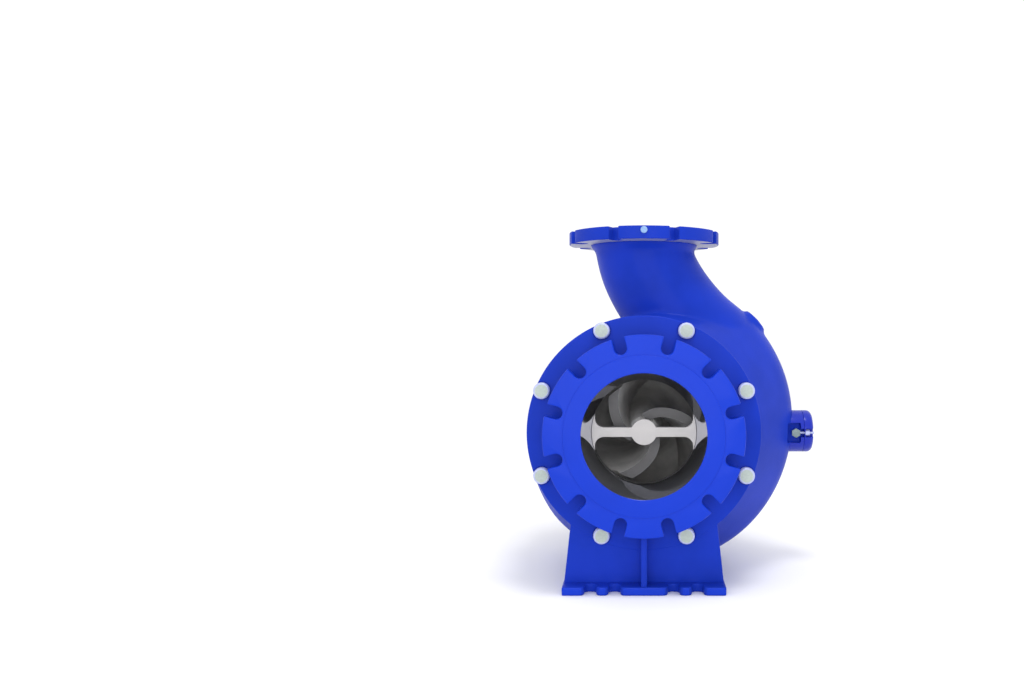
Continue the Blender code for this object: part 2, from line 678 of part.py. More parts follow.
def make_volute_casing(paint):
    """The spiral casing with its end rings, discharge neck and flange, boss and side port: one casting."""
    casing = volute_body("volute_casing", 0.0, SHOULDER_R, paint)
    ring_front = rod("front_ring", (0, CASING_FRONT_Y, AXIS_Z), (0, RING_T, AXIS_Z), COVER_R, 56)
    ring_back = rod("back_ring", (0, CASING_BACK_Y - RING_T, AXIS_Z), (0, CASING_BACK_Y, AXIS_Z), COVER_R, 56)
    line = neck_points()
    root = [girth(d) - sink for d, sink in zip(NECK_ROOT_DEG, NECK_ROOT_SINK)]
    radii = root + [GIRTH_END] * (len(line) - len(root) - 1) + [NECK_TOP_R]
    top = line[-1] + Vector((0, 0, 0.010))
    neck = tube("neck", line + [top], radii + [NECK_TOP_R], 10)
    flange_profile = [
        (0.0, DISCHARGE_UNDER_Z),
        (DISCHARGE_FLANGE_R, DISCHARGE_UNDER_Z),
        (DISCHARGE_FLANGE_R, DISCHARGE_TOP_Z - DISCHARGE_EDGE),
        (DISCHARGE_FLANGE_R - DISCHARGE_EDGE, DISCHARGE_TOP_Z),
        (DISCHARGE_RAISED_R, DISCHARGE_TOP_Z),
        (DISCHARGE_RAISED_R, DISCHARGE_TOP_Z + RAISED_FACE_T),
        (0.0, DISCHARGE_TOP_Z + RAISED_FACE_T),
    ]
    flange = turned("discharge_flange", flange_profile, 48, None, (0.0, DISCHARGE_Y, 0.0), (0.0, 0.0, 1.0))
    boss_profile = [
        (0.0, BOSS_ROOT),
        (BOSS_R, BOSS_ROOT),
        (BOSS_R, BOSS_REACH - BOSS_EDGE),
        (BOSS_R - BOSS_EDGE / 3, BOSS_REACH - BOSS_EDGE / 3),
        (BOSS_R - BOSS_EDGE, BOSS_REACH),
        (0.0, BOSS_REACH),
    ]
    boss_line = round_axis(1.0, BOSS_DEG, 0.0) - round_axis(0.0, BOSS_DEG, 0.0)
    boss = turned("top_boss", boss_profile, 20, None, (0.0, DISCHARGE_Y, AXIS_Z), boss_line)
    port_root, port_seam = ((x, DISCHARGE_Y, PORT_Z) for x in (PORT_ROOT_X, PORT_SEAM_X))
    port = rod("port_neck", port_root, port_seam, PORT_R, 32)
    boolean(casing, "UNION", ring_front, ring_back, neck, flange, boss, port)

    hollow = volute_body("volute_hollow", CASING_WALL, CHAMBER_R)
    inner_line = line + [Vector((line[-1].x, DISCHARGE_Y, DISCHARGE_TOP_Z + 0.02))]
    inner_radii = [radius - CASING_WALL for radius in radii[:-1]] + [DISCHARGE_BORE_R] * 2
    bore = tube("neck_bore", inner_line, inner_radii, 10)
    boolean(casing, "DIFFERENCE", hollow, bore)

    for k in range(DISCHARGE_SLOTS):
        slot = u_slot(
            f"discharge_slot_{k + 1}", DISCHARGE_BOLT_CIRCLE_R, DISCHARGE_SLOT_R, DISCHARGE_FLANGE_R + 0.03,
            22.5 + 45 * k, "Z", DISCHARGE_UNDER_Z - 0.002, DISCHARGE_TOP_Z + 0.01, (0.0, DISCHARGE_Y, 0.0),
        )
        boolean(casing, "DIFFERENCE", slot)
    for k in range(BOLT_COUNT):
        for label, start, end in (
            ("front", CASING_FRONT_Y - 0.01, BOLT_DEPTH + 0.002),
            ("back", CASING_BACK_Y - BOLT_DEPTH - 0.002, CASING_BACK_Y + 0.01),
        ):
            degrees = 22.5 + 45 * k
            hole = rod(
                f"{label}_hole_{k + 1}", round_axis(BOLT_CIRCLE_R, degrees, start),
                round_axis(BOLT_CIRCLE_R, degrees, end), BOLT_HOLE_R, 12,
            )
            boolean(casing, "DIFFERENCE", hole)

    floor_r = BOSS_REACH - BOSS_PLUG_DEPTH
    boss_socket = rod(
        "boss_socket",
        round_axis(floor_r, BOSS_DEG, DISCHARGE_Y),
        round_axis(BOSS_REACH + 0.01, BOSS_DEG, DISCHARGE_Y),
        BOSS_PLUG_R + GAP,
        16,
    )
    port_bore = rod(
        "port_bore",
        (PORT_ROOT_X - 0.02, DISCHARGE_Y, PORT_Z),
        (PORT_SEAM_X + 0.01, DISCHARGE_Y, PORT_Z),
        PORT_BORE_R,
        24,
    )
    plug_y = DISCHARGE_Y - DISCHARGE_FLANGE_R
    gauge_hole = rod(
        "gauge_hole",
        (0, plug_y - 0.01, GAUGE_PLUG_Z),
        (0, plug_y + GAUGE_STEM_DEPTH + 0.002, GAUGE_PLUG_Z),
        GAUGE_STEM_R + GAP,
        14,
    )
    boolean(casing, "DIFFERENCE", boss_socket, port_bore, gauge_hole)
    for side in (-1, 1):
        pocket = side_box(
            f"port_pocket_{side:+d}", side, POCKET_FLOOR, POCKET_START_X, POCKET_END_X, POCKET_HALF_Z
        )
        slot = side_box(
            f"port_slot_{side:+d}", side, SLOT_FLOOR, POCKET_END_X - 0.002, PORT_SEAM_X + 0.01, SLOT_HALF_Z
        )
        pin_floor = POCKET_FLOOR - PIVOT_DEPTH
        pin_hole = side_rod(f"pin_hole_{side:+d}", side, pin_floor, POCKET_FLOOR + 0.02, PIVOT_R + GAP, 12)
        boolean(casing, "DIFFERENCE", pocket, slot, pin_hole)
    return casing


def make_small_plugs(zinc, paint):
    plug_y = DISCHARGE_Y - DISCHARGE_FLANGE_R
    profile = [
        (0.0, -GAUGE_HEAD_T),
        (GAUGE_PLUG_R * 0.8, -GAUGE_HEAD_T),
        (GAUGE_PLUG_R, -GAUGE_HEAD_T * 0.7),
        (GAUGE_PLUG_R, -GAP),
        (GAUGE_STEM_R, -GAP),
        (GAUGE_STEM_R, GAUGE_STEM_DEPTH),
        (0.0, GAUGE_STEM_DEPTH),
    ]
    turned("gauge_plug", profile, 16, zinc, (0.0, plug_y, GAUGE_PLUG_Z))
    floor_r = BOSS_REACH - BOSS_PLUG_DEPTH + GAP
    rod(
        "boss_plug",
        round_axis(floor_r, BOSS_DEG, DISCHARGE_Y),
        round_axis(BOSS_REACH - 0.001, BOSS_DEG, DISCHARGE_Y),
        BOSS_PLUG_R,
        16,
        paint,
    )


def make_port_cover(paint):
    """A round cover over the side port, held in two slots by swing bolts."""
    profile = [
        (0.0, PORT_SEAM_X + GAP),
        (PORT_R, PORT_SEAM_X + GAP),
        (PORT_R, PORT_END_X - PORT_EDGE),
        (PORT_R - PORT_EDGE * 0.3, PORT_END_X - PORT_EDGE * 0.3),
        (PORT_R - PORT_EDGE, PORT_END_X),
        (0.0, PORT_END_X),
    ]
    cover = turned("port_cover", profile, 32, paint, (0.0, DISCHARGE_Y, PORT_Z), (1.0, 0.0, 0.0))
    slit_half = SWING_SHANK_R + 0.001
    for side in (-1, 1):
        wide = side_box(f"cover_slot_{side:+d}", side, SLOT_FLOOR, NUT_SEAT_X, PORT_END_X + 0.01, SLOT_HALF_Z)
        slit_ends = (PORT_SEAM_X - 0.01, NUT_SEAT_X + 0.001)
        narrow = side_box(f"cover_slit_{side:+d}", side, SLOT_FLOOR + 0.001, *slit_ends, slit_half)
        boolean(cover, "DIFFERENCE", wide, narrow)


def make_swing_bolts(zinc):
    """At each side of the port: an eye bolt with its nut, which swings on a hex-headed bolt."""
    eye_low = POCKET_FLOOR + GAP
    eye_high = eye_low + SWING_EYE_T
    for side, label in ((-1, "front"), (1, "back")):
        y = DISCHARGE_Y + side * SWING_OFFSET
        bolt = side_rod(f"swing_bolt_{label}", side, eye_low, eye_high, SWING_EYE_R, 16, zinc)
        shank_tip = (PORT_END_X + 0.001, y, PORT_Z)
        shank = rod(f"shank_{label}", (PIVOT_X, y, PORT_Z), shank_tip, SWING_SHANK_R, 12)
        pin_way = side_rod(f"pin_way_{label}", side, eye_low - 0.01, eye_high + 0.01, PIVOT_R + GAP, 12)
        boolean(bolt, "UNION", shank)
        boolean(bolt, "DIFFERENCE", pin_way)
        head_low = eye_high + GAP
        pin = side_rod(f"swing_pin_{label}", side, head_low, head_low + PIVOT_HEAD_T, PIVOT_HEAD_R, 6, zinc)
        stem_low = POCKET_FLOOR - PIVOT_DEPTH + GAP
        stem = side_rod(f"pin_stem_{label}", side, stem_low, head_low + PIVOT_HEAD_T / 2, PIVOT_R, 12)
        boolean(pin, "UNION", stem)
        seat = (NUT_SEAT_X + GAP, y, PORT_Z)
        nut = rod(f"swing_nut_{label}", seat, (NUT_SEAT_X + NUT_T, y, PORT_Z), NUT_R, 6, zinc)
        thread_start = (NUT_SEAT_X - 0.01, y, PORT_Z)
        thread = rod(f"thread_{label}", thread_start, (PORT_END_X, y, PORT_Z), SWING_SHANK_R + GAP, 12)
        boolean(nut, "DIFFERENCE", thread)


def vane_cone(y):
    """The radius at a station of the cone that the vanes follow, a running gap inside the liner."""
    line, normal = liner_normal()
    start = Vector((EYE_R, LINER_CONE_START_Y)) - normal * RUNNING_GAP
    return start.x + line.x * (y - start.y) / line.y


def vane_outer_radius(y):
    """How far a vane reaches at a station: a cylinder in the eye, then a cone, then the full radius."""
    return min(IMPELLER_R, max(VANE_FRONT_R, vane_cone(y)))


def vane_room():
    """The space that the vanes turn in. It trims them to the liner."""
    slope = vane_cone(1.0) - vane_cone(0.0)
    cone_start = (VANE_FRONT_R - vane_cone(0.0)) / slope
    cone_end = (IMPELLER_R - vane_cone(0.0)) / slope
    profile = [
        (0.0, VANE_FRONT_Y),
        (VANE_FRONT_R, VANE_FRONT_Y),
        (VANE_FRONT_R, cone_start),
        (IMPELLER_R, cone_end),
        (IMPELLER_R, SHROUD_BACK_Y - 0.004),
        (0.0, SHROUD_BACK_Y - 0.004),
    ]
    return turned("vane_room", profile, 40)


def make_vane(name, turn_deg):
    """A twisted sheet along a logarithmic spiral, given its thickness by Solidify."""
    stations = (VANE_FRONT_Y - 0.008, 0.030, 0.070, 0.110, 0.150, 0.185, 0.225, SHROUD_FRONT_Y + 0.006)
    steps = 8
    bm = bmesh.new()
    rows = []
    for y in stations:
        outer = vane_outer_radius(y) + VANE_TRIM
        twist = VANE_TWIST_DEG_PER_M * (y - VANE_FRONT_Y)
        row = []
        for i in range(steps + 1):
            radius = VANE_INNER_R + (outer - VANE_INNER_R) * i / steps
            spiral = VANE_START_DEG - VANE_SPIRAL_DEG * math.log(radius / VANE_START_R)
            row.append(bm.verts.new(round_axis(radius, spiral + twist + turn_deg, y)))
        rows.append(row)
    for row, after in zip(rows, rows[1:]):
        for k in range(steps):
            bm.faces.new((row[k], row[k + 1], after[k + 1], after[k]))
    vane = add_object(name, mesh_from(name, bm))
    shell = vane.modifiers.new("thickness", "SOLIDIFY")
    shell.thickness = VANE_T
    shell.offset = 0.0
    return vane


def make_impeller(iron):
    profile = [
        (0.0, HUB_LINE[0][1]),
        *HUB_LINE,
        (IMPELLER_R, SHROUD_FRONT_Y),
        (IMPELLER_R, SHROUD_BACK_Y),
        (HUB_BACK_R, SHROUD_BACK_Y),
        (HUB_BACK_R, IMPELLER_BACK_Y),
        (SHAFT_NOSE_R + GAP, IMPELLER_BACK_Y),
        (SHAFT_NOSE_R + GAP, SHAFT_NOSE_Y),
        (0.0, SHAFT_NOSE_Y),
    ]
    impeller = turned("impeller", profile, 40, iron)
    room = vane_room()
    for k in range(VANE_COUNT):
        vane = make_vane(f"vane_{k + 1}", 360 / VANE_COUNT * k)
        boolean(vane, "INTERSECT", room)
        boolean(impeller, "UNION", vane)
    shaft_way = rod(
        "shaft_way", (0, SHAFT_NOSE_Y, AXIS_Z), (0, IMPELLER_BACK_Y + 0.01, AXIS_Z), SHAFT_NOSE_R + GAP, 48
    )
    boolean(impeller, "DIFFERENCE", shaft_way)


def make_impeller_nut(steel):
    seat = HUB_LINE[0][1] - GAP
    profile = [*NOSE_NUT_LINE, (NOSE_NUT_LINE[-1][0], seat), (0.0, seat)]
    turned("impeller_nut", profile, 24, steel)


def make_shaft(steel):
    profile = [
        (0.0, SHAFT_NOSE_Y + GAP),
        (SHAFT_NOSE_R, SHAFT_NOSE_Y + GAP),
        (SHAFT_NOSE_R, IMPELLER_BACK_Y + GAP),
        (SHAFT_SEAL_R, IMPELLER_BACK_Y + GAP),
        (SHAFT_SEAL_R, SHAFT_STEP_Y),
        (SHAFT_END_R, SHAFT_STEP_Y),
        (SHAFT_END_R, SHAFT_END_Y - COVER_EDGE),
        (SHAFT_END_R - COVER_EDGE, SHAFT_END_Y),
        (0.0, SHAFT_END_Y),
    ]
    shaft = turned("shaft", profile, 32, steel)
    key_low, key_high = AXIS_Z + KEY_FLOOR, AXIS_Z + KEY_TOP
    key_start, key_end = SHAFT_STEP_Y + 0.012, SHAFT_END_Y - 0.007
    keyway = box(
        "keyway", (-KEY_WIDTH / 2, key_start, key_low - GAP), (KEY_WIDTH / 2, key_end, key_high + 0.01)
    )
    boolean(shaft, "DIFFERENCE", keyway)
    box(
        "shaft_key",
        (-KEY_WIDTH / 2 + GAP, key_start + GAP, key_low),
        (KEY_WIDTH / 2 - GAP, key_end - GAP, key_high),
        steel,
    )


def make_back_cover(paint):
    spigot_front = IMPELLER_BACK_Y + SPIGOT_GAP
    pocket_floor = spigot_front + SEAL_POCKET_DEPTH
    profile = [
        (SEAL_BORE_R, spigot_front),
        (LINER_RIM_R, spigot_front),
        (LINER_RIM_R, CASING_BACK_Y + GAP),
        (COVER_R, CASING_BACK_Y + GAP),
        (COVER_R, BACK_COVER_END_Y - COVER_EDGE),
        (COVER_R - COVER_EDGE, BACK_COVER_END_Y),
        (SEAL_POCKET_R, BACK_COVER_END_Y),
        (SEAL_POCKET_R, pocket_floor),
        (SEAL_BORE_R, pocket_floor),
    ]
    cover = turned("back_cover", profile, 48, paint)
    for k in range(BOLT_COUNT):
        centre = round_axis(BOLT_CIRCLE_R, 22.5 + 45 * k, CASING_BACK_Y - 0.01)
        hole = rod(f"back_cover_hole_{k + 1}", centre, centre + Vector((0, 0.05, 0)), BOLT_HOLE_R, 12)
        boolean(cover, "DIFFERENCE", hole)


def make_back_bolts(zinc):
    """Hex bolts that hold the back cover to the casing."""
    for k in range(BOLT_COUNT):
        degrees = 22.5 + 45 * k
        seat = round_axis(BOLT_CIRCLE_R, degrees, BACK_COVER_END_Y + GAP)
        top = seat + Vector((0, BACK_BOLT_HEAD_T, 0))
        bolt = rod(f"back_bolt_{k + 1}", seat, top, BACK_BOLT_HEAD_R, 6, zinc)
        tip = round_axis(BOLT_CIRCLE_R, degrees, CASING_BACK_Y - BOLT_DEPTH)
        shank = rod(f"back_shank_{k + 1}", tip, seat + Vector((0, BACK_BOLT_HEAD_T / 2, 0)), BOLT_SHANK_R, 12)
        boolean(bolt, "UNION", shank)


def make_seal_gland(steel):
    floor = IMPELLER_BACK_Y + SPIGOT_GAP + SEAL_POCKET_DEPTH + GAP
    profile = [
        (SEAL_BORE_R, floor),
        (SEAL_POCKET_R - GAP, floor),
        (SEAL_POCKET_R - GAP, floor + GLAND_STEP_T),
        (GLAND_R, floor + GLAND_STEP_T),
        (GLAND_R - COVER_EDGE, floor + GLAND_T),
        (SEAL_BORE_R, floor + GLAND_T),
    ]
    turned("seal_gland", profile, 32, steel)


def make_bearing_frame(paint):
    """A lantern with a window at each side and a barrel that carries the shaft, with ribs and a foot pad."""
    start = BACK_COVER_END_Y + GAP
    profile = [
        (LANTERN_FRONT_R - LANTERN_WALL, start),
        (FRAME_FLANGE_R, start),
        (FRAME_FLANGE_R, start + FRAME_FLANGE_T),
        (LANTERN_FRONT_R, start + FRAME_FLANGE_T),
        (FRAME_BARREL_R, start + LANTERN_LENGTH),
        (FRAME_BARREL_R, FRAME_END_Y - FRAME_FLANGE_T),
        (CAP_R, FRAME_END_Y - FRAME_FLANGE_T),
        (CAP_R, FRAME_END_Y),
        (BEARING_BORE_R, FRAME_END_Y),
        (BEARING_BORE_R, start + LANTERN_LENGTH - 0.005),
        (FRAME_BARREL_R - BARREL_SINK, start + LANTERN_LENGTH - 0.005),
        (LANTERN_FRONT_R - LANTERN_WALL, start + FRAME_FLANGE_T + 0.004),
    ]
    frame = turned("bearing_frame", profile, 48, paint)
    rib_outline = [(start + y, radius) for y, radius in FRAME_RIB_LINE]
    for k in range(4):
        degrees = 45 + 90 * k
        rib = outline_solid(f"frame_rib_{k + 1}", rib_outline, -FRAME_RIB_T / 2, FRAME_RIB_T / 2, "YZ")
        turn = Matrix.Rotation(math.radians(degrees), 4, "Y")
        rib.matrix_world = Matrix.Translation((0, 0, AXIS_Z)) @ turn @ rib.matrix_world
        boolean(frame, "UNION", rib)
    inside = FRAME_BARREL_R - BARREL_SINK
    pad_x, pad_y = REAR_PAD_HALF
    pad_low = (-pad_x, REAR_FOOT_Y - pad_y, PAD_BOTTOM_Z)
    pad_high = (pad_x, REAR_FOOT_Y + pad_y - 0.001, AXIS_Z - inside)
    pad = box("foot_pad", pad_low, pad_high)
    fill_boss = rod("fill_boss", (0, OIL_Y, AXIS_Z + inside), (0, OIL_Y, AXIS_Z + OIL_BOSS_R), FILL_BOSS_R, 16)
    sight_boss = rod("sight_boss", (inside, OIL_Y, SIGHT_Z), (OIL_BOSS_R, OIL_Y, SIGHT_Z), SIGHT_BOSS_R, 20)
    drain_boss = rod(
        "drain_boss", (0, DRAIN_Y, AXIS_Z - inside), (0, DRAIN_Y, AXIS_Z - OIL_BOSS_R), DRAIN_BOSS_R, 16
    )
    boolean(frame, "UNION", pad, fill_boss, sight_boss, drain_boss)
    for side in (-1, 1):
        near, far = sorted(side * x for x in LANTERN_WINDOW_X)
        window = box(
            f"lantern_window_{side:+d}",
            (near, start + LANTERN_WINDOW_Y[0], AXIS_Z - LANTERN_WINDOW_HALF_Z),
            (far, start + LANTERN_WINDOW_Y[1], AXIS_Z + LANTERN_WINDOW_HALF_Z),
        )
        boolean(frame, "DIFFERENCE", window)


def make_oil_fittings(zinc, glass, paint):
    base = AXIS_Z + OIL_BOSS_R + GAP
    top = base + FILL_CAP_H
    profile = [
        (0.0, base),
        (FILL_CAP_NECK_R, base),
        (FILL_CAP_NECK_R, base + 0.004),
        (FILL_CAP_R, base + 0.005),
        (FILL_CAP_R, top - 0.003),
        (FILL_CAP_R - 0.003, top),
        (0.0, top),
    ]
    turned("oil_fill_cap", profile, 20, paint, (0.0, OIL_Y, 0.0), (0.0, 0.0, 1.0))
    sight = OIL_BOSS_R + GAP
    rod("oil_sight", (sight, OIL_Y, SIGHT_Z), (sight + SIGHT_T, OIL_Y, SIGHT_Z), SIGHT_R, 20, glass)
    low = AXIS_Z - OIL_BOSS_R - GAP
    rod("oil_drain_plug", (0, DRAIN_Y, low), (0, DRAIN_Y, low - DRAIN_HEAD_T), DRAIN_HEAD_R, 6, zinc)


def make_bearing_cap(paint):
    start = FRAME_END_Y + GAP
    profile = [
        (BEARING_BORE_R, start),
        (CAP_R, start),
        (CAP_R, start + CAP_T),
        (CAP_NOSE_R + 0.018, start + CAP_T + 0.001),
        (CAP_NOSE_R, start + CAP_NOSE_T),
        (BEARING_BORE_R, start + CAP_NOSE_T),
    ]
    turned("bearing_cap", profile, 40, paint)


def make_rear_foot(paint):
    """A pedestal under the bearing frame's pad."""
    y = REAR_FOOT_Y
    half_x, half_y = REAR_FOOT_HALF
    pad_y = REAR_PAD_HALF[1]
    middle = REAR_FOOT_T / 2
    top_z = PAD_BOTTOM_Z - GAP
    inside_top = top_z - REAR_FOOT_T / 2
    foot = box("rear_foot", (-half_x, y - half_y, 0.0), (half_x, y + half_y, REAR_FOOT_T), paint)
    top_low = (-REAR_TOP_HALF_X, y - pad_y - 0.002, top_z - REAR_FOOT_T)
    top = box("rear_foot_top", top_low, (REAR_TOP_HALF_X, y + pad_y, top_z))
    toe, shoulder = half_x - 0.012, REAR_TOP_HALF_X - 0.006
    web_outline = [(-toe, middle), (toe, middle), (shoulder, inside_top), (-shoulder, inside_top)]
    web = outline_solid("rear_foot_web", web_outline, y - REAR_WEB_T / 2, y + REAR_WEB_T / 2, "XZ")
    rib = box(
        "rear_foot_rib",
        (-REAR_RIB_T / 2, y - pad_y + 0.003, middle + 0.0005),
        (REAR_RIB_T / 2, y + pad_y - 0.003, inside_top - 0.0005),
    )
    boolean(foot, "UNION", top, web, rib)
    for x in (-REAR_HOLE_X, REAR_HOLE_X):
        hole_y = y - half_y * 0.6
        hole = rod(f"rear_foot_hole_{x:+.2f}", (x, hole_y, -0.01), (x, hole_y, 0.03), REAR_HOLE_R, 12)
        boolean(foot, "DIFFERENCE", hole)


def main():
    clear_scene()
    paint = material("blue_enamel", (0.02, 0.07, 0.75), 0.35, 0.0)
    guide_metal = material("guide_metal", (0.62, 0.61, 0.60), 0.45, 0.6)
    iron = material("cast_iron", (0.10, 0.10, 0.10), 0.6, 0.7)
    zinc = material("zinc_plate", (0.70, 0.71, 0.74), 0.35, 0.8)
    steel = material("turned_steel", (0.55, 0.55, 0.56), 0.3, 0.9)
    glass = material("sight_glass", (0.75, 0.80, 0.70), 0.1, 0.0)
    make_suction_cover(paint)
    make_cover_bolts(zinc)
    make_inlet_bar(guide_metal)
    make_wear_liner(iron)
    make_volute_casing(paint)
    make_small_plugs(zinc, paint)
    make_port_cover(paint)
    make_swing_bolts(zinc)
    make_impeller(iron)
    make_impeller_nut(steel)
    make_shaft(steel)
    make_back_cover(paint)
    make_back_bolts(zinc)
    make_seal_gland(steel)
    make_bearing_frame(paint)
    make_oil_fittings(zinc, glass, paint)
    make_bearing_cap(paint)
    make_rear_foot(paint)


main()
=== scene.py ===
# %% [markdown]
# # A screw centrifugal pump, dressed
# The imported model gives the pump's sizes, joints and collision. These cells make its looks: the castings get
# rounded corners and fillets, the fasteners their chamfers, and each surface its own procedural finish.
# The frame is loaded first, so that every new piece can be placed by the node that it stands for.

# %% Load the frame
import json
import math

import bmesh
import bpy
from mathutils import Matrix, Vector


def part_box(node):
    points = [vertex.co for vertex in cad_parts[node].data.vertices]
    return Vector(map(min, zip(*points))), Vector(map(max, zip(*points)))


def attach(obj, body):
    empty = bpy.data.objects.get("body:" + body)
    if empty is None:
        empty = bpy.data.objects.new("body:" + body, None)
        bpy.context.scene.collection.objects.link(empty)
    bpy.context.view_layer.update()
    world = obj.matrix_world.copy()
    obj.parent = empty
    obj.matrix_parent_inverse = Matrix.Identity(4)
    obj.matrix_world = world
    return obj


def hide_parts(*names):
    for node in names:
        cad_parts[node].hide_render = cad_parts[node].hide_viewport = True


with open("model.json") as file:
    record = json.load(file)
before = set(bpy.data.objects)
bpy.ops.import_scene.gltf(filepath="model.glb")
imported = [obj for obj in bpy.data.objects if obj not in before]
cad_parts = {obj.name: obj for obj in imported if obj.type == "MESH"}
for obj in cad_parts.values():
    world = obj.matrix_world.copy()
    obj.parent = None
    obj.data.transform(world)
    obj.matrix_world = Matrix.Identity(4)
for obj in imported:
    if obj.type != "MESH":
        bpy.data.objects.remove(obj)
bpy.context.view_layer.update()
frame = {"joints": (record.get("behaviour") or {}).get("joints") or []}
AXIS_Z = frame["joints"][0]["pos_m"][2]
PUMP_AXIS = Vector((0.0, 0.0, AXIS_Z))
print(f"the pump's axis is {AXIS_Z * 1000:.1f} mm above the floor")

# %% [markdown]
# ## Camera
# The photograph looks along the shaft from the suction side, a little above the shaft, with a short lens.
# The lens and the distance come from the flanges: the front one and the rear casing are seen at different
# scales, and only one distance gives both. The small shift places the pump in the frame's right half, so the
# camera itself stays level and the flanges stay round.

# %% Camera
IMAGE_WIDTH = 1024
FOCAL_PIXELS = 891
PUMP_COLUMN, EYE_ROW = 644, 330
MIDDLE_COLUMN, MIDDLE_ROW = 512, 341.5
CAMERA_PLACE = (0.0, -1.862, 0.5362)

camera = bpy.data.cameras.new("camera")
camera.sensor_width = 36.0
camera.lens = FOCAL_PIXELS * camera.sensor_width / IMAGE_WIDTH
camera.shift_x = (MIDDLE_COLUMN - PUMP_COLUMN) / IMAGE_WIDTH
camera.shift_y = (EYE_ROW - MIDDLE_ROW) / IMAGE_WIDTH
camera_object = bpy.data.objects.new("camera", camera)
camera_object.location = CAMERA_PLACE
camera_object.rotation_euler = (math.pi / 2, 0.0, 0.0)
bpy.context.scene.collection.objects.link(camera_object)
bpy.context.scene.camera = camera_object
print(f"the lens is {camera.lens:.1f} mm")

# %% [markdown]
# ## Node maths in plain Python
# A finish is a small tree of nodes. Wiring it by hand hides the idea, so a socket is wrapped in a class whose
# operators add the Math nodes: 0.36 + 0.12 * clouds reads as what it does. Sums and products may swap their
# sides, so the reflected operators are the plain ones. Every other node comes from one method of the finish,
# which sets the node's own settings first and then its sockets.

# %% Finish and shade
NOISE_LOW, NOISE_HIGH = 0.3, 0.7


class Shade:
    """A socket in a finish. Sums and products on it add Math nodes."""

    def __init__(self, finish, socket):
        self.finish = finish
        self.socket = socket

    def math(self, operation, other):
        return self.finish.node("ShaderNodeMath", {"operation": operation}, {0: self, 1: other})

    def __add__(self, other):
        return self.math("ADD", other)

    def __mul__(self, other):
        return self.math("MULTIPLY", other)

    __radd__ = __add__
    __rmul__ = __mul__


class Finish:
    """A material, its Principled shader and the nodes that feed it."""

    def __init__(self, name, colour, roughness, metallic=0.0, **constants):
        self.material = bpy.data.materials.new(name)
        self.material.use_nodes = True
        self.tree = self.material.node_tree
        self.shader = self.tree.nodes["Principled BSDF"]
        self.shader.inputs["Base Color"].default_value = (*colour, 1.0)
        self.shader.inputs["Roughness"].default_value = roughness
        self.shader.inputs["Metallic"].default_value = metallic
        for socket, value in constants.items():
            self.shader.inputs[socket.replace("_", " ")].default_value = value
        self.place = self.node("ShaderNodeTexCoord", {}, {}, "Object")

    def node(self, kind, settings, values, output=0):
        made = self.tree.nodes.new(kind)
        for setting, value in settings.items():
            setattr(made, setting, value)
        for socket, value in values.items():
            if isinstance(value, Shade):
                self.tree.links.new(value.socket, made.inputs[socket])
            else:
                made.inputs[socket].default_value = value
        return Shade(self, made.outputs[output])

    def noise(self, scale, detail=2.0, roughness=0.5):
        """Noise from 0 to 1 over the piece's place. A scale of 100 has lumps of about 10 mm."""
        values = {"Vector": self.place, "Scale": scale, "Detail": detail, "Roughness": roughness}
        return self.node("ShaderNodeTexNoise", {}, values)

    def spread(self, noise):
        """Most of a noise lies in its middle, so the middle is spread smoothly over 0 to 1."""
        values = {"Value": noise, "From Min": NOISE_LOW, "From Max": NOISE_HIGH}
        return self.node("ShaderNodeMapRange", {"interpolation_type": "SMOOTHSTEP"}, values)

    def feed(self, socket, value):
        self.tree.links.new(value.socket, self.shader.inputs[socket])

    def drift(self, share, light, dark):
        """Feeds the base colour, light where the share is 0 and dark where it is 1."""
        values = {"Factor": share, 6: (*light, 1.0), 7: (*dark, 1.0)}
        self.feed("Base Color", self.node("ShaderNodeMix", {"data_type": "RGBA"}, values, 2))

    def bump(self, height, distance, strength):
        return self.node("ShaderNodeBump", {}, {"Height": height, "Distance": distance, "Strength": strength})


print("a noise is spread from", NOISE_LOW, "to", NOISE_HIGH)

# %% [markdown]
# ## Blue enamel
# The pump is sprayed with a deep blue enamel over cast iron. Up close such paint isn't flat: the sand of the
# mould shows through as a shallow grain, the paint adds a finer orange peel, and both break up the gloss.
# An image would tile and blur, so the grain is noise in the object's own space, at its true size. The suction
# flange is machined under its paint, so it is smoother. Its blue is painted brighter than the rough casting's:
# that brighter blue is painted light on the faces that look at the front lamp.
# The side port and its lid are turned before they are painted, so their paint is smoother and shines more.

# %% Blue enamel
BLUE_SHEEN = (0.25, 0.35, 1.0, 1.0)


def blue_enamel(name, blue, deep_blue, grain, sheen, coat):
    """Enamel that drifts between two blues. The grain is how deep the sand shows, in metres."""
    finish = Finish(
        name, blue, 0.42, Specular_IOR_Level=sheen, Specular_Tint=BLUE_SHEEN, Coat_Weight=coat,
        Coat_Roughness=0.18,
    )
    clouds = finish.noise(9.0, 3.0)
    sand = finish.noise(420.0, 3.0, 0.6)
    peel = finish.noise(1400.0, 1.0)
    finish.drift(finish.spread(clouds), blue, deep_blue)
    finish.feed("Roughness", 0.36 + 0.12 * clouds + 0.06 * sand)
    finish.feed("Normal", finish.bump(sand + 0.4 * peel, grain, 0.5))
    return finish.material


ENAMEL = blue_enamel("blue_enamel", (0.010, 0.037, 0.445), (0.008, 0.032, 0.375), 0.0003, 0.08, 0.07)
# The face enamel's brighter blue is painted light on the suction flange's front faces
LIT_FACE_ENAMEL = blue_enamel("face_enamel", (0.005, 0.036, 0.50), (0.005, 0.034, 0.47), 0.0001, 0.2, 0.16)
GLOSS_ENAMEL = blue_enamel("gloss_enamel", (0.010, 0.024, 0.40), (0.008, 0.021, 0.34), 0.0001, 0.2, 0.35)
print("made", ENAMEL.name, LIT_FACE_ENAMEL.name, "and", GLOSS_ENAMEL.name)
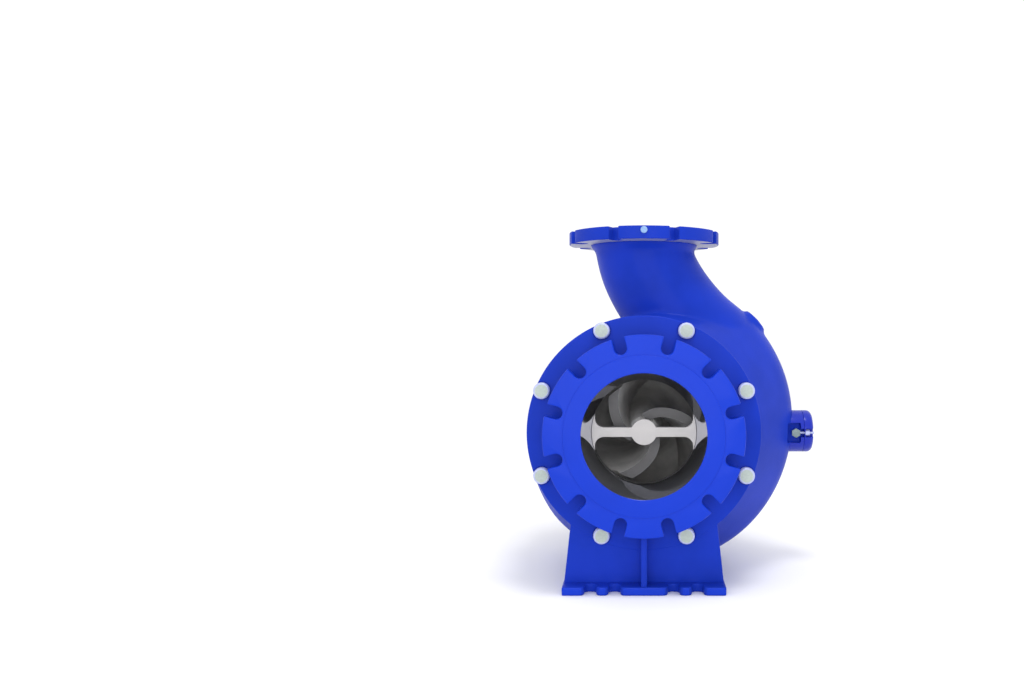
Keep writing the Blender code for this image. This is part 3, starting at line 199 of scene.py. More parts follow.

# %% [markdown]
# ## Bare and plated metal
# The bore of the suction flange is machined bright, and from the front it works as a steep mirror: it repeats
# the guide bar's ends and the dark vanes. The guide bar is a pale bare casting. The rotor is as-cast iron,
# rough and patchy; the liner and the vanes' front faces are painted far darker, as painted shade against the
# front light on them. Bolts are zinc plated, which mottles, and their pale blue is partly a painted highlight.
# The shaft is turned, so its grain runs in rings round it. The sight glass shows oil behind a lens.
# The discharge flange's underside has a pale greyish blue.

# %% Metals
def machined_bore():
    finish = Finish("machined_bore", (0.66, 0.68, 0.76), 0.10, 1.0)
    finish.feed("Roughness", 0.05 + 0.07 * finish.noise(30.0))
    return finish.material


def guide_metal():
    finish = Finish("guide_metal", (0.62, 0.61, 0.60), 0.5, 0.1)
    clouds = finish.noise(40.0, 3.0)
    finish.drift(clouds, (0.50, 0.48, 0.48), (0.44, 0.43, 0.43))
    finish.feed("Roughness", 0.42 + 0.16 * clouds)
    finish.feed("Normal", finish.bump(finish.noise(900.0), 0.0001, 0.4))
    return finish.material


def cast_iron(name, light, dark):
    finish = Finish(name, light, 0.5)
    clouds = finish.noise(22.0, 4.0, 0.6)
    sand = finish.noise(350.0, 3.0, 0.6)
    finish.drift(finish.spread(clouds), light, dark)
    finish.feed("Roughness", 0.40 + 0.20 * clouds + 0.08 * sand)
    finish.feed("Normal", finish.bump(sand, 0.0003, 0.5))
    return finish.material


def plated(name, light, dark, metallic):
    finish = Finish(name, light, 0.35, metallic)
    mottle = finish.noise(260.0, 3.0, 0.6)
    finish.drift(finish.spread(mottle), light, dark)
    finish.feed("Roughness", 0.30 + 0.15 * mottle)
    return finish.material


def turned_steel():
    finish = Finish("turned_steel", (0.55, 0.55, 0.57), 0.28, 0.95)
    stretched = finish.node("ShaderNodeMapping", {}, {"Vector": finish.place, "Scale": (1.0, 1600.0, 1.0)})
    rings = finish.node("ShaderNodeTexNoise", {}, {"Vector": stretched, "Scale": 1.0, "Detail": 1.0})
    finish.feed("Roughness", 0.20 + 0.16 * rings)
    finish.feed("Normal", finish.bump(rings, 0.00005, 0.4))
    return finish.material


def sight_glass():
    finish = Finish("sight_glass", (0.86, 0.90, 0.84), 0.06, 0.0, Alpha=0.45)
    finish.feed("Roughness", 0.04 + 0.06 * finish.noise(120.0))
    return finish.material


def oil_gold():
    finish = Finish("oil_gold", (0.55, 0.30, 0.05), 0.15)
    finish.drift(finish.noise(90.0), (0.60, 0.34, 0.06), (0.42, 0.21, 0.03))
    return finish.material


BORE = machined_bore()
GUIDE = guide_metal()
IRON = cast_iron("dark_iron", (0.45, 0.445, 0.435), (0.335, 0.33, 0.325))
# The vanes' front faces and the liner get a far darker iron: painted shade against the front light on them
SHADED_IRON = cast_iron("worn_iron", (0.085, 0.083, 0.088), (0.072, 0.071, 0.073))
# The zinc's pale blue is partly a painted highlight: it is the colour of the bolt rims where they catch the
# light
SHEEN_ZINC = plated("zinc_plate", (0.47, 0.51, 0.76), (0.41, 0.45, 0.68), 0.15)
ZINC_FACE = plated("zinc_face", (0.44, 0.51, 0.46), (0.39, 0.45, 0.41), 0.0)
PALE_PLUG = plated("pale_plug", (0.22, 0.37, 0.64), (0.18, 0.32, 0.58), 0.0)
GREY_PIN = plated("pin_steel", (0.20, 0.26, 0.27), (0.16, 0.21, 0.21), 0.2)
BACK_FACE = plated("flange_back", (0.30, 0.31, 0.46), (0.24, 0.25, 0.40), 0.0)
STEEL = turned_steel()
GLASS = sight_glass()
OIL = oil_gold()
print("made", len(bpy.data.materials), "materials")

# %% [markdown]
# ## Turned shapes
# Most of a pump is turned: covers, flanges, bolts, shaft. Each starts as a wire of (radius, station) points.
# A third number rounds that corner with a vertex bevel while it is still a wire, which costs far less than
# bevelling the finished solid and lets each corner have its own radius. Spin then sweeps the wire round.

# %% Turned shapes
WELD = 0.00002
ARC_STEPS = 4
ALONG_PUMP = Vector((0.0, 1.0, 0.0))
SIDEWAYS = Vector((1.0, 0.0, 0.0))
UP = Vector((0.0, 0.0, 1.0))


def solid_mesh(bm, name):
    """Welds the doubles, turns the faces outwards and closes the bmesh into a mesh."""
    bmesh.ops.remove_doubles(bm, verts=bm.verts, dist=WELD)
    bmesh.ops.recalc_face_normals(bm, faces=bm.faces)
    mesh = bpy.data.meshes.new(name)
    bm.to_mesh(mesh)
    bm.free()
    return mesh


def round_corner(bm, corner, radius):
    bmesh.ops.bevel(
        bm, geom=[corner], offset=radius, offset_type="OFFSET", segments=ARC_STEPS,
        profile=0.5, affect="VERTICES", material=-1,
    )


def turned(profile, steps, centre=PUMP_AXIS, axis=ALONG_PUMP, side=SIDEWAYS):
    """A solid of revolution. Each point is (radius, station) or (radius, station, corner radius)."""
    bm = bmesh.new()
    corners = [bm.verts.new(centre + axis * point[1] + side * point[0]) for point in profile]
    pairs = list(zip(corners, corners[1:]))
    if profile[0][0] > 0.0 or profile[-1][0] > 0.0:
        pairs.append((corners[-1], corners[0]))
    for pair in pairs:
        bm.edges.new(pair)
    for corner, point in zip(corners, profile):
        if len(point) == 3 and point[2]:
            round_corner(bm, corner, point[2])
    bmesh.ops.spin(
        bm, geom=bm.verts[:] + bm.edges[:], cent=centre, axis=axis, angle=math.tau,
        steps=steps, use_merge=True,
    )
    return solid_mesh(bm, "turned")


def drum(radius, low, high, steps, line=(), high_round=0.0, low_round=0.0):
    """A round solid between two stations. The line is its centre, axis and side, if not the pump's."""
    profile = [(0.0, low), (radius, low, low_round), (radius, high, high_round), (0.0, high)]
    return turned(profile, steps, *line)


def round_pump(radius, degrees, y):
    """A point at a radius and an angle round the pump's axis, from +X towards +Z."""
    angle = math.radians(degrees)
    return Vector((radius * math.cos(angle), y, AXIS_Z + radius * math.sin(angle)))


print("a rounded corner has", ARC_STEPS, "steps")

# %% [markdown]
# ## Plates, boxes and tubes
# Ribs, webs and feet are plates: an outline is filled, extruded and its sharp edges are bevelled, as a cast
# rib has no knife edge. A tube grows from a circle whose rim is extruded from stop to stop along a path.

# %% Plates, boxes and tubes
SHARP = math.radians(30)


def soften_edges(bm, width, segments=3):
    """Bevels every edge that is sharper than 30 degrees."""
    sharp = [edge for edge in bm.edges if edge.calc_face_angle(0.0) > SHARP]
    bmesh.ops.bevel(
        bm, geom=sharp, offset=width, offset_type="OFFSET", segments=segments,
        profile=0.5, affect="EDGES", material=-1,
    )


def moved_part(grown, kind):
    return [element for element in grown["geom"] if isinstance(element, kind)]


def plate(corners, thickness, edge):
    """A flat outline, given its thickness as a vector. Corners with a fourth value are rounded by it."""
    bm = bmesh.new()
    verts = [bm.verts.new(corner[:3]) for corner in corners]
    for pair in zip(verts, verts[1:] + verts[:1]):
        bm.edges.new(pair)
    for vert, corner in zip(verts, corners):
        if len(corner) == 4:
            round_corner(bm, vert, corner[3])
    bmesh.ops.edgeloop_fill(bm, edges=bm.edges[:])
    grown = bmesh.ops.extrude_face_region(bm, geom=bm.faces[:])
    bmesh.ops.translate(bm, vec=thickness, verts=moved_part(grown, bmesh.types.BMVert))
    bmesh.ops.recalc_face_normals(bm, faces=bm.faces)
    soften_edges(bm, edge)
    return solid_mesh(bm, "plate")


def side_plate(x, outline, thickness, edge):
    """A plate that lies along the pump, from x on. Its outline is in (y, z) or (y, z, rounding)."""
    return plate([(x, *corner) for corner in outline], SIDEWAYS * thickness, edge)


def cross_plate(y, outline, thickness, edge):
    """A plate across the pump, from y on. Its outline is in (x, z) or (x, z, rounding)."""
    return plate([(corner[0], y, *corner[1:]) for corner in outline], ALONG_PUMP * thickness, edge)


def block(low, high, edge=0.0, segments=3):
    low, high = Vector(low), Vector(high)
    bm = bmesh.new()
    bmesh.ops.create_cube(bm, size=1.0)
    bmesh.ops.scale(bm, vec=high - low, verts=bm.verts)
    bmesh.ops.translate(bm, vec=(low + high) / 2, verts=bm.verts)
    if edge:
        soften_edges(bm, edge, segments)
    return solid_mesh(bm, "block")


def rod(start, end, radius, sides):
    """A cylinder between two points."""
    start, end = Vector(start), Vector(end)
    line = end - start
    turn = line.to_track_quat("Z", "Y").to_matrix().to_4x4()
    bm = bmesh.new()
    bmesh.ops.create_cone(
        bm, cap_ends=True, segments=sides, radius1=radius, radius2=radius, depth=line.length,
        matrix=Matrix.Translation((start + end) / 2) @ turn,
    )
    return solid_mesh(bm, "rod")


def way(line, low, high, radius, sides):
    """A rod between two stations on a line of (centre, axis, side)."""
    centre, axis, _ = line
    return rod(centre + axis * low, centre + axis * high, radius, sides)


def stance(stop):
    """The placing of a circle across a path that stays in a plane across the shaft."""
    place, heading, radius = stop
    across = heading.cross(ALONG_PUMP)
    turn = Matrix((ALONG_PUMP, across, heading)).transposed().to_4x4()
    return Matrix.Translation(place) @ turn @ Matrix.Diagonal((radius, radius, radius, 1.0))


def tube(stops, sides):
    """A closed tube through stops of (place, heading, radius)."""
    bm = bmesh.new()
    bmesh.ops.create_circle(bm, cap_ends=True, segments=sides, radius=1.0, matrix=stance(stops[0]))
    rim = bm.edges[:]
    for before, after in zip(stops, stops[1:]):
        grown = bmesh.ops.extrude_edge_only(bm, edges=rim)
        move = stance(after) @ stance(before).inverted()
        bmesh.ops.transform(bm, matrix=move, verts=moved_part(grown, bmesh.types.BMVert))
        rim = moved_part(grown, bmesh.types.BMEdge)
        rim = [edge for edge in rim if len(edge.link_faces) == 1]
    bmesh.ops.edgeloop_fill(bm, edges=rim)
    return solid_mesh(bm, "tube")


print("plates are softened where two faces meet at more than 30 degrees")

# %% [markdown]
# ## Joining and cutting
# Castings are sums of simple solids, and machining takes solids away, so unions and differences say it best.
# All shapes here are closed, which lets the fast manifold solver do the work. Where the real casting has
# fillets instead of creases, the joined body is melted: a voxel remesh turns it into even small faces and a
# few rounds of smoothing draw its inner corners round.

# %% Joining and cutting
def shape_with(mesh, add_steps, tools=()):
    """The mesh after modifiers, as a new mesh."""
    holder = bpy.data.objects.new("holder", mesh)
    helpers = [bpy.data.objects.new("helper", tool) for tool in tools]
    for obj in (holder, *helpers):
        bpy.context.scene.collection.objects.link(obj)
    add_steps(holder, helpers)
    bpy.context.view_layer.update()
    graph = bpy.context.evaluated_depsgraph_get()
    made = bpy.data.meshes.new_from_object(holder.evaluated_get(graph))
    for obj in (holder, *helpers):
        bpy.data.objects.remove(obj)
    return made


def combine(operation, mesh, tools):
    def add_steps(holder, helpers):
        for helper in helpers:
            step = holder.modifiers.new("step", "BOOLEAN")
            step.operation = operation
            step.object = helper
            step.solver = "MANIFOLD"

    return shape_with(mesh, add_steps, tools)


def joined(mesh, *tools):
    return combine("UNION", mesh, tools)


def cut(mesh, *tools):
    return combine("DIFFERENCE", mesh, tools)


def common(mesh, *tools):
    return combine("INTERSECT", mesh, tools)


def melted(mesh, voxel, rounds):
    def add_steps(holder, _):
        melt = holder.modifiers.new("melt", "REMESH")
        melt.mode = "VOXEL"
        melt.voxel_size = voxel
        soften = holder.modifiers.new("soften", "SMOOTH")
        soften.factor = 0.5
        soften.iterations = rounds

    return shape_with(mesh, add_steps)


def add_piece(name, mesh, finish, stands_for=(), body="pump_body"):
    """Hangs a finished mesh on its body, in place of the nodes that it stands for."""
    mesh.name = name
    mesh.materials.clear()
    mesh.materials.append(finish)
    mesh.shade_smooth()
    mesh.set_sharp_from_angle(angle=SHARP)
    piece = bpy.data.objects.new(name, mesh)
    bpy.context.scene.collection.objects.link(piece)
    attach(piece, body)
    if stands_for:
        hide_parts(*stands_for)
    bm = bmesh.new()
    bm.from_mesh(mesh)
    loose = sum(not edge.is_manifold for edge in bm.edges)
    bm.free()
    mesh.calc_loop_triangles()
    print(f"{name}: {len(mesh.loop_triangles)} triangles, {loose} open edges")
    return piece


def paint_faces(piece, finish, wanted):
    """Gives a second finish to the faces that pass a test."""
    mesh = piece.data
    mesh.materials.append(finish)
    for face in mesh.polygons:
        corners = [mesh.vertices[i].co for i in face.vertices]
        if wanted(corners, face.normal):
            face.material_index = len(mesh.materials) - 1


print("the solids are joined with the manifold solver")

# %% [markdown]
# ## Flanges with open slots
# Both flanges have bolt slots that are open at the rim, so a bolt swings in from the side. One half slot and
# one half tab are drawn with spin, mirrored, and copied round, starting half a pitch from the side. The
# closed outline is then filled and extruded.

# %% Slotted flange
def slotted_flange(rim_r, circle_r, slot_r, slots, thickness, edge):
    """A flange plate on the XY plane, from z = 0 up, with no slot on its X axis."""
    pitch = math.tau / slots
    bm = bmesh.new()
    root = bm.verts.new((circle_r - slot_r, 0.0, 0.0))
    slot_end = bmesh.ops.spin(
        bm, geom=[root], cent=(circle_r, 0, 0), axis=UP, angle=-math.pi / 2, steps=8
    )
    mouth = bm.verts.new((math.sqrt(rim_r**2 - slot_r**2), slot_r, 0.0))
    last = [element for element in slot_end["geom_last"] if isinstance(element, bmesh.types.BMVert)]
    bm.edges.new((last[0], mouth))
    to_middle = pitch / 2 - math.asin(slot_r / rim_r)
    bmesh.ops.spin(bm, geom=[mouth], cent=(0, 0, 0), axis=UP, angle=to_middle, steps=8)
    bmesh.ops.mirror(bm, geom=bm.verts[:] + bm.edges[:], axis="Y", merge_dist=WELD)
    one_slot = bm.verts[:] + bm.edges[:]
    for k in range(1, slots):
        copy = bmesh.ops.duplicate(bm, geom=one_slot)
        turn = Matrix.Rotation(pitch * k, 3, "Z")
        bmesh.ops.rotate(bm, cent=(0, 0, 0), matrix=turn, verts=moved_part(copy, bmesh.types.BMVert))
    bmesh.ops.rotate(bm, cent=(0, 0, 0), matrix=Matrix.Rotation(pitch / 2, 3, "Z"), verts=bm.verts)
    bmesh.ops.remove_doubles(bm, verts=bm.verts, dist=WELD)
    bmesh.ops.edgeloop_fill(bm, edges=bm.edges[:])
    grown = bmesh.ops.extrude_face_region(bm, geom=bm.faces[:])
    bmesh.ops.translate(bm, vec=UP * thickness, verts=moved_part(grown, bmesh.types.BMVert))
    bmesh.ops.recalc_face_normals(bm, faces=bm.faces)
    soften_edges(bm, edge)
    return solid_mesh(bm, "slotted_flange")


print("a slotted flange is one outline, extruded once")

# %% [markdown]
# ## Suction cover and front foot
# One casting closes the casing's front: a flange to the suction pipe, a short neck, the bolted cover plate
# and the front foot, a web with a rib in front and two gussets behind. It is the face of the pump, so each
# corner that shows has a rounding of its own. The bore narrows from the flange to the eye and is machined
# bright.

# %% Suction cover sizes
SUCTION_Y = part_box("suction_cover")[0].y
COVER_FACE_Y = -0.029
CASING_FRONT_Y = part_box("volute_casing")[0].y
GAP = 0.0003
SUCTION_RIM_R, SUCTION_T = 0.2032, 0.030
SUCTION_SLOTS, SUCTION_SLOT_CIRCLE_R, SUCTION_SLOT_R = 12, 0.181, 0.0127
SUCTION_RAISED_R, SUCTION_NECK_R = 0.162, 0.150
SUCTION_BORE_R, EYE_R, EYE_START_Y = 0.126, 0.109, -0.0165
RAISED_T = 0.0016
COVER_R = 0.242
BOLT_CIRCLE_R, BOLT_HOLE_R = 0.2275, 0.0085
SPOT_FACE_R, SPOT_FACE_Y = 0.0195, COVER_FACE_Y + 0.0015
BOLT_DEGREES = [22.5 + 45 * k for k in range(8)]
FOOT_HALF_X, FOOT_HALF_Y, FOOT_T, FOOT_CORNER_R = 0.1664, 0.066, 0.017, 0.003
FOOT_SLOT_R, FOOT_SLOT_DEPTH, FOOT_SLOT_X, FOOT_MOUTH_R = 0.012, 0.028, (0.060, 0.109), 0.010
WEB_T, WEB_TOP_Z, WEB_HALF_TOP = 0.020, 0.150, 0.150
RIB_T, RIB_FOOT_Y, RIB_WAIST_Y, RIB_WAIST_Z, RIB_TOP_Y = 0.0125, -0.062, -0.058, 0.100, -0.048
GUSSET_X, GUSSET_T, GUSSET_TOP_Z = 0.125, 0.012, 0.078
print(f"the suction flange's face is {-SUCTION_Y * 1000:.0f} mm in front of the casing")


# %% Front foot
def foot_corners():
    """The foot's outline: open slots along the front and back edges, their mouths rounded outwards."""
    floor_y, root_r = FOOT_SLOT_DEPTH - FOOT_HALF_Y, FOOT_SLOT_R * 0.96
    front = [(-FOOT_HALF_X, -FOOT_HALF_Y, 0.0, FOOT_CORNER_R)]
    for x in (-FOOT_SLOT_X[1], -FOOT_SLOT_X[0], *FOOT_SLOT_X):
        low, high = x - FOOT_SLOT_R, x + FOOT_SLOT_R
        front += [
            (low, -FOOT_HALF_Y, 0.0, FOOT_MOUTH_R), (low, floor_y, 0.0, root_r),
            (high, floor_y, 0.0, root_r), (high, -FOOT_HALF_Y, 0.0, FOOT_MOUTH_R),
        ]
    front.append((FOOT_HALF_X, -FOOT_HALF_Y, 0.0, FOOT_CORNER_R))
    return front + [(-x, -y, z, rounding) for x, y, z, rounding in front]


def front_foot():
    base = plate(foot_corners(), UP * FOOT_T, 0.0025)
    web_y, low_z, half_x = COVER_FACE_Y + 0.001, FOOT_T / 2, FOOT_HALF_X - 0.001
    web_outline = [
        (-half_x, low_z), (half_x, low_z),
        (WEB_HALF_TOP, WEB_TOP_Z, 0.004), (-WEB_HALF_TOP, WEB_TOP_Z, 0.004),
    ]
    web = cross_plate(web_y, web_outline, WEB_T, 0.003)
    inside_y, rib_top = COVER_FACE_Y + WEB_T / 2, AXIS_Z - SUCTION_NECK_R + 0.012
    rib_outline = [
        (RIB_FOOT_Y, low_z), (inside_y, low_z), (inside_y, rib_top), (RIB_TOP_Y, rib_top),
        (RIB_WAIST_Y, RIB_WAIST_Z, 0.02),
    ]
    rib = side_plate(-RIB_T / 2, rib_outline, RIB_T, 0.0025)
    gusset_y = web_y + WEB_T / 2
    gusset_outline = [(gusset_y, low_z), (FOOT_HALF_Y - 0.012, low_z), (gusset_y, GUSSET_TOP_Z)]
    gussets = [side_plate(x - GUSSET_T / 2, gusset_outline, GUSSET_T, 0.002) for x in (-GUSSET_X, GUSSET_X)]
    return joined(base, web, rib, *gussets)


# %% Suction cover
def bolt_way(degrees, low, high, radius=BOLT_HOLE_R, sides=32):
    """A cutter along one cover bolt's line, between two stations."""
    start, end = round_pump(BOLT_CIRCLE_R, degrees, low), round_pump(BOLT_CIRCLE_R, degrees, high)
    return rod(start, end, radius, sides)


def suction_cover():
    flange_back = SUCTION_Y + SUCTION_T
    flange = slotted_flange(
        SUCTION_RIM_R, SUCTION_SLOT_CIRCLE_R, SUCTION_SLOT_R, SUCTION_SLOTS, SUCTION_T - RAISED_T, 0.0022
    )
    flange.transform(Matrix.Translation((0, flange_back, AXIS_Z)) @ Matrix.Rotation(math.pi / 2, 4, "X"))
    body = turned(
        [
            (0.0, SUCTION_Y), (SUCTION_RAISED_R, SUCTION_Y, 0.0008), (SUCTION_RAISED_R, SUCTION_Y + 0.004),
            (SUCTION_NECK_R, SUCTION_Y + 0.006), (SUCTION_NECK_R, flange_back - 0.002),
            (SUCTION_NECK_R, COVER_FACE_Y, 0.009), (COVER_R, COVER_FACE_Y, 0.003),
            (COVER_R, CASING_FRONT_Y - GAP, 0.001), (0.0, CASING_FRONT_Y - GAP),
        ],
        192,
    )
    bore = turned(
        [
            (0.0, SUCTION_Y - 0.02), (SUCTION_BORE_R + 0.0022, SUCTION_Y - 0.001),
            (SUCTION_BORE_R, SUCTION_Y + 0.0012), (EYE_R, EYE_START_Y, 0.004), (EYE_R, 0.02), (0.0, 0.02),
        ],
        192,
    )
    start = COVER_FACE_Y - 0.01
    holes = [bolt_way(degrees, start, 0.01) for degrees in BOLT_DEGREES]
    spot_faces = [bolt_way(degrees, start, SPOT_FACE_Y, SPOT_FACE_R, 48) for degrees in BOLT_DEGREES]
    return cut(joined(body, flange, front_foot()), bore, *holes, *spot_faces)


def on_flange(corners, _):
    return max(corner.y for corner in corners) < SUCTION_Y + SUCTION_T + 0.0001


def in_bore(corners, _):
    return max(math.hypot(corner.x, corner.z - AXIS_Z) for corner in corners) < SUCTION_BORE_R + 0.0004


cover = add_piece("suction_cover_casting", suction_cover(), ENAMEL, ["suction_cover"])
# The flange's faces get the brighter blue of painted light
paint_faces(cover, LIT_FACE_ENAMEL, on_flange)
paint_faces(cover, BORE, in_bore)
print("the flange is smoother and the bore machined bright")

# %% [markdown]
# ## Cover bolts
# Eight round-headed bolts hold the cover. In the photograph they are the palest things on the pump: zinc
# plated, with a broad soft rim that catches the light. The rim's pale blue is a painted highlight, and the
# flat middle has a plainer colour. One profile is turned at each place on the circle.

# %% Cover bolts
BOLT_HEAD_R, BOLT_HEAD_Y, BOLT_SHANK_R, BOLT_DEPTH = 0.0170, COVER_FACE_Y - 0.012, 0.0080, 0.018
BOLT_CENTRE_R = 0.0125


def bolt_centre(corners, _):
    """The flat middle of a bolt's head, seen from the front."""
    return max(corner.y for corner in corners) < BOLT_HEAD_Y + 0.0001


for number, degrees in enumerate(BOLT_DEGREES, 1):
    bolt = turned(
        [
            (0.0, BOLT_HEAD_Y), (BOLT_CENTRE_R, BOLT_HEAD_Y), (BOLT_HEAD_R, BOLT_HEAD_Y, 0.0038),
            (BOLT_HEAD_R, SPOT_FACE_Y - GAP), (BOLT_SHANK_R, SPOT_FACE_Y - GAP),
            (BOLT_SHANK_R, BOLT_DEPTH, 0.001), (0.0, BOLT_DEPTH),
        ],
        64, round_pump(BOLT_CIRCLE_R, degrees, 0.0),
    )
    head = add_piece(f"cover_bolt_head_{number}", bolt, SHEEN_ZINC, [f"cover_bolt_{number}"])
    # The rim keeps the pale blue of the painted highlight, and the flat middle gets a plainer colour
    paint_faces(head, ZINC_FACE, bolt_centre)

# %% [markdown]
# ## Guide bar
# A flat bar stands across the eye, with a round hub in the middle and ends that flare into the bore. It is a
# plate: its outline is a quarter made of three arcs, mirrored to the other quarters by sign.

# %% Guide bar
BAR_Y = (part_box("inlet_bar")[0].y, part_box("inlet_bar")[1].y)
BAR_HALF, BAR_HUB_R = 0.0099, 0.0269
FLARE_R, FLARE_X = 0.019, 0.083


def arc(centre, radius, start_deg, end_deg, steps):
    """Points on a circle, from one angle to another."""
    angles = [math.radians(start_deg + (end_deg - start_deg) * i / steps) for i in range(steps + 1)]
    return [(centre[0] + radius * math.cos(a), centre[1] + radius * math.sin(a)) for a in angles]


def guide_bar():
    tip_r = EYE_R - GAP
    tip_deg = math.degrees(math.acos((FLARE_X + FLARE_R) / tip_r))
    hub_deg = math.degrees(math.asin(BAR_HALF / BAR_HUB_R))
    quarter = arc((0, 0), tip_r, 0, tip_deg, 6)
    quarter += arc((FLARE_X, BAR_HALF + FLARE_R), FLARE_R, 0, -90, 16)
    quarter += arc((0, 0), BAR_HUB_R, hub_deg, 90, 14)
    half = quarter + [(-x, z) for x, z in reversed(quarter[:-1])]
    whole = half + [(-x, -z) for x, z in half[1:-1]]
    outline = [(x, AXIS_Z + z) for x, z in whole]
    return cross_plate(BAR_Y[0], outline, BAR_Y[1] - BAR_Y[0], 0.0008)


add_piece("guide_bar", guide_bar(), GUIDE, ["inlet_bar"])

# %% [markdown]
# ## Spiral casing: the hull
# The casing's section grows as it goes round: small at the tongue, full at the throat. A ring of stations is
# spun round the shaft first, which gives an even grid, and then every point is pushed out to its own radius
# by two rules, how far the casing reaches and how thick its round section is. The hull is the line drawn
# tight over the two end rings and that section, so its sides run straight and its crest is round.

# %% Hull rules
DISCHARGE_Y = 0.194
CASING_BACK_Y = 0.324
VOLUTE_CENTRE = PUMP_AXIS + ALONG_PUMP * DISCHARGE_Y
SHOULDER_R, CHAMBER_R, RING_T, WALL = 0.226, 0.200, 0.025, 0.013
REACH = (
    (42, 0.3425), (81, 0.276), (120, 0.216), (150, 0.240), (180, 0.262), (212, 0.2855), (230, 0.2996),
    (270, 0.3156), (301, 0.3338), (347, 0.339), (375, 0.342), (402, 0.3425),
)
GIRTH_START, GIRTH_END = 0.040, 0.110
TONGUE_DEG, THROAT_DEG = 120, 402
HULL_ENDS = (CASING_FRONT_Y + 0.004, CASING_BACK_Y - 0.004)


def smooth_value(table, x):
    """The value at x of a smooth curve through the table's points."""
    xs = [point[0] for point in table]
    ys = [point[1] for point in table]
    slopes = []
    for i in range(len(table)):
        a, b = max(i - 1, 0), min(i + 1, len(table) - 1)
        slopes.append((ys[b] - ys[a]) / (xs[b] - xs[a]))
    i = max(k for k in range(len(table) - 1) if xs[k] <= x or k == 0)
    width = xs[i + 1] - xs[i]
    t = (x - xs[i]) / width
    return (
        ys[i] * (1 + 2 * t) * (1 - t) ** 2
        + slopes[i] * width * t * (1 - t) ** 2
        + ys[i + 1] * t * t * (3 - 2 * t)
        + slopes[i + 1] * width * t * t * (t - 1)
    )


def reach(degrees):
    return smooth_value(REACH, degrees)


def girth(degrees):
    """The radius of the casing's round section: it grows from the tongue to the throat."""
    if degrees < TONGUE_DEG:
        share = (TONGUE_DEG - degrees) / (TONGUE_DEG - THROAT_DEG + 360)
    else:
        share = (degrees - TONGUE_DEG) / (THROAT_DEG - TONGUE_DEG)
    return GIRTH_START + (GIRTH_END - GIRTH_START) * share


def hull_radius(y, corner_r, centre_r, section_r):
    """The radius at station y of the line drawn tight over both end rings and the round section."""
    if centre_r + section_r <= corner_r:
        return corner_r
    tangents = []
    for end in HULL_ENDS:
        out = Vector((end - DISCHARGE_Y, corner_r - centre_r))
        spread = math.acos(min(1.0, section_r / out.length))
        bearing = math.atan2(out.y, out.x)
        bearing += -spread if end < DISCHARGE_Y else spread
        tangent_y = DISCHARGE_Y + section_r * math.cos(bearing)
        tangents.append((tangent_y, centre_r + section_r * math.sin(bearing)))
    (front_y, front_r), (back_y, back_r) = tangents
    if y < front_y:
        return corner_r + (front_r - corner_r) * (y - HULL_ENDS[0]) / (front_y - HULL_ENDS[0])
    if y > back_y:
        return corner_r + (back_r - corner_r) * (HULL_ENDS[1] - y) / (HULL_ENDS[1] - back_y)
    return centre_r + math.sqrt(max(0.0, section_r**2 - (y - DISCHARGE_Y) ** 2))


print(f"the casing reaches {reach(THROAT_DEG) * 1000:.0f} mm from the shaft at its throat")


# %% Hull
HULL_STEPS, HULL_STATIONS = 180, 44


def hull(wall, corner_r, over):
    """The spiral body, or with a wall the hollow in it, which runs over both ends."""
    bm = bmesh.new()
    front, back = HULL_ENDS
    stations = [front + (back - front) * i / HULL_STATIONS for i in range(HULL_STATIONS + 1)]
    if over:
        stations = [CASING_FRONT_Y - over, *stations, CASING_BACK_Y + over]
    verts = [bm.verts.new((corner_r, y, AXIS_Z)) for y in stations]
    for pair in zip(verts, verts[1:]):
        bm.edges.new(pair)
    bmesh.ops.spin(
        bm, geom=bm.verts[:] + bm.edges[:], cent=PUMP_AXIS, axis=-ALONG_PUMP, angle=math.tau,
        steps=HULL_STEPS, use_merge=True,
    )
    for vert in bm.verts:
        if HULL_ENDS[0] <= vert.co.y <= HULL_ENDS[1]:
            degrees = math.degrees(math.atan2(vert.co.z - AXIS_Z, vert.co.x))
            degrees += 360 if degrees < THROAT_DEG - 360 else 0
            section_r = girth(degrees)
            radius = hull_radius(vert.co.y, corner_r, reach(degrees) - section_r, section_r - wall)
            vert.co.x *= radius / corner_r
            vert.co.z = AXIS_Z + (vert.co.z - AXIS_Z) * radius / corner_r
    rims = [edge for edge in bm.edges if len(edge.link_faces) == 1]
    bmesh.ops.holes_fill(bm, edges=rims, sides=0)
    return solid_mesh(bm, "hull")


print("a hull has", HULL_STEPS * HULL_STATIONS, "faces on its skin")

# %% [markdown]
# ## Spiral casing: the discharge neck
# The neck leaves the throat along the spiral and bends up to the flange. Its line is a cubic curve whose ends
# point along the spiral and straight up. A circle is carried along it, from inside the volute to the flange.

# %% Discharge neck
NECK_LINE = ((0.1453, 0.1815), (0.0860, 0.2214), (-0.0050, 0.3384), (0.0008, 0.4084))
NECK_TOP_R, DISCHARGE_BORE_R = 0.115, 0.1015
NECK_ROOTS = ((372, 0.008), (382, 0.006), (392, 0.003))
NECK_STEPS = 28
NECK_FLARE_START, NECK_FLARE_LENGTH = 0.85, 0.15
DISCHARGE_TOP_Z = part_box("volute_casing")[1].z - RAISED_T
DISCHARGE_UNDER_Z = 0.730


def neck_places():
    """Places on the neck's line, and the casing's radius at each."""
    places = [(round_pump(reach(d) - girth(d), d, DISCHARGE_Y), girth(d) - sink) for d, sink in NECK_ROOTS]
    p0, p1, p2, p3 = (Vector(point) for point in NECK_LINE)
    for i in range(NECK_STEPS + 1):
        t = i / NECK_STEPS
        point = (1 - t) ** 3 * p0 + 3 * (1 - t) ** 2 * t * p1 + 3 * (1 - t) * t * t * p2 + t**3 * p3
        flare = (NECK_TOP_R - GIRTH_END) * max(0.0, (t - NECK_FLARE_START) / NECK_FLARE_LENGTH) ** 2
        places.append((Vector((point.x, DISCHARGE_Y, AXIS_Z + point.y)), GIRTH_END + flare))
    return places


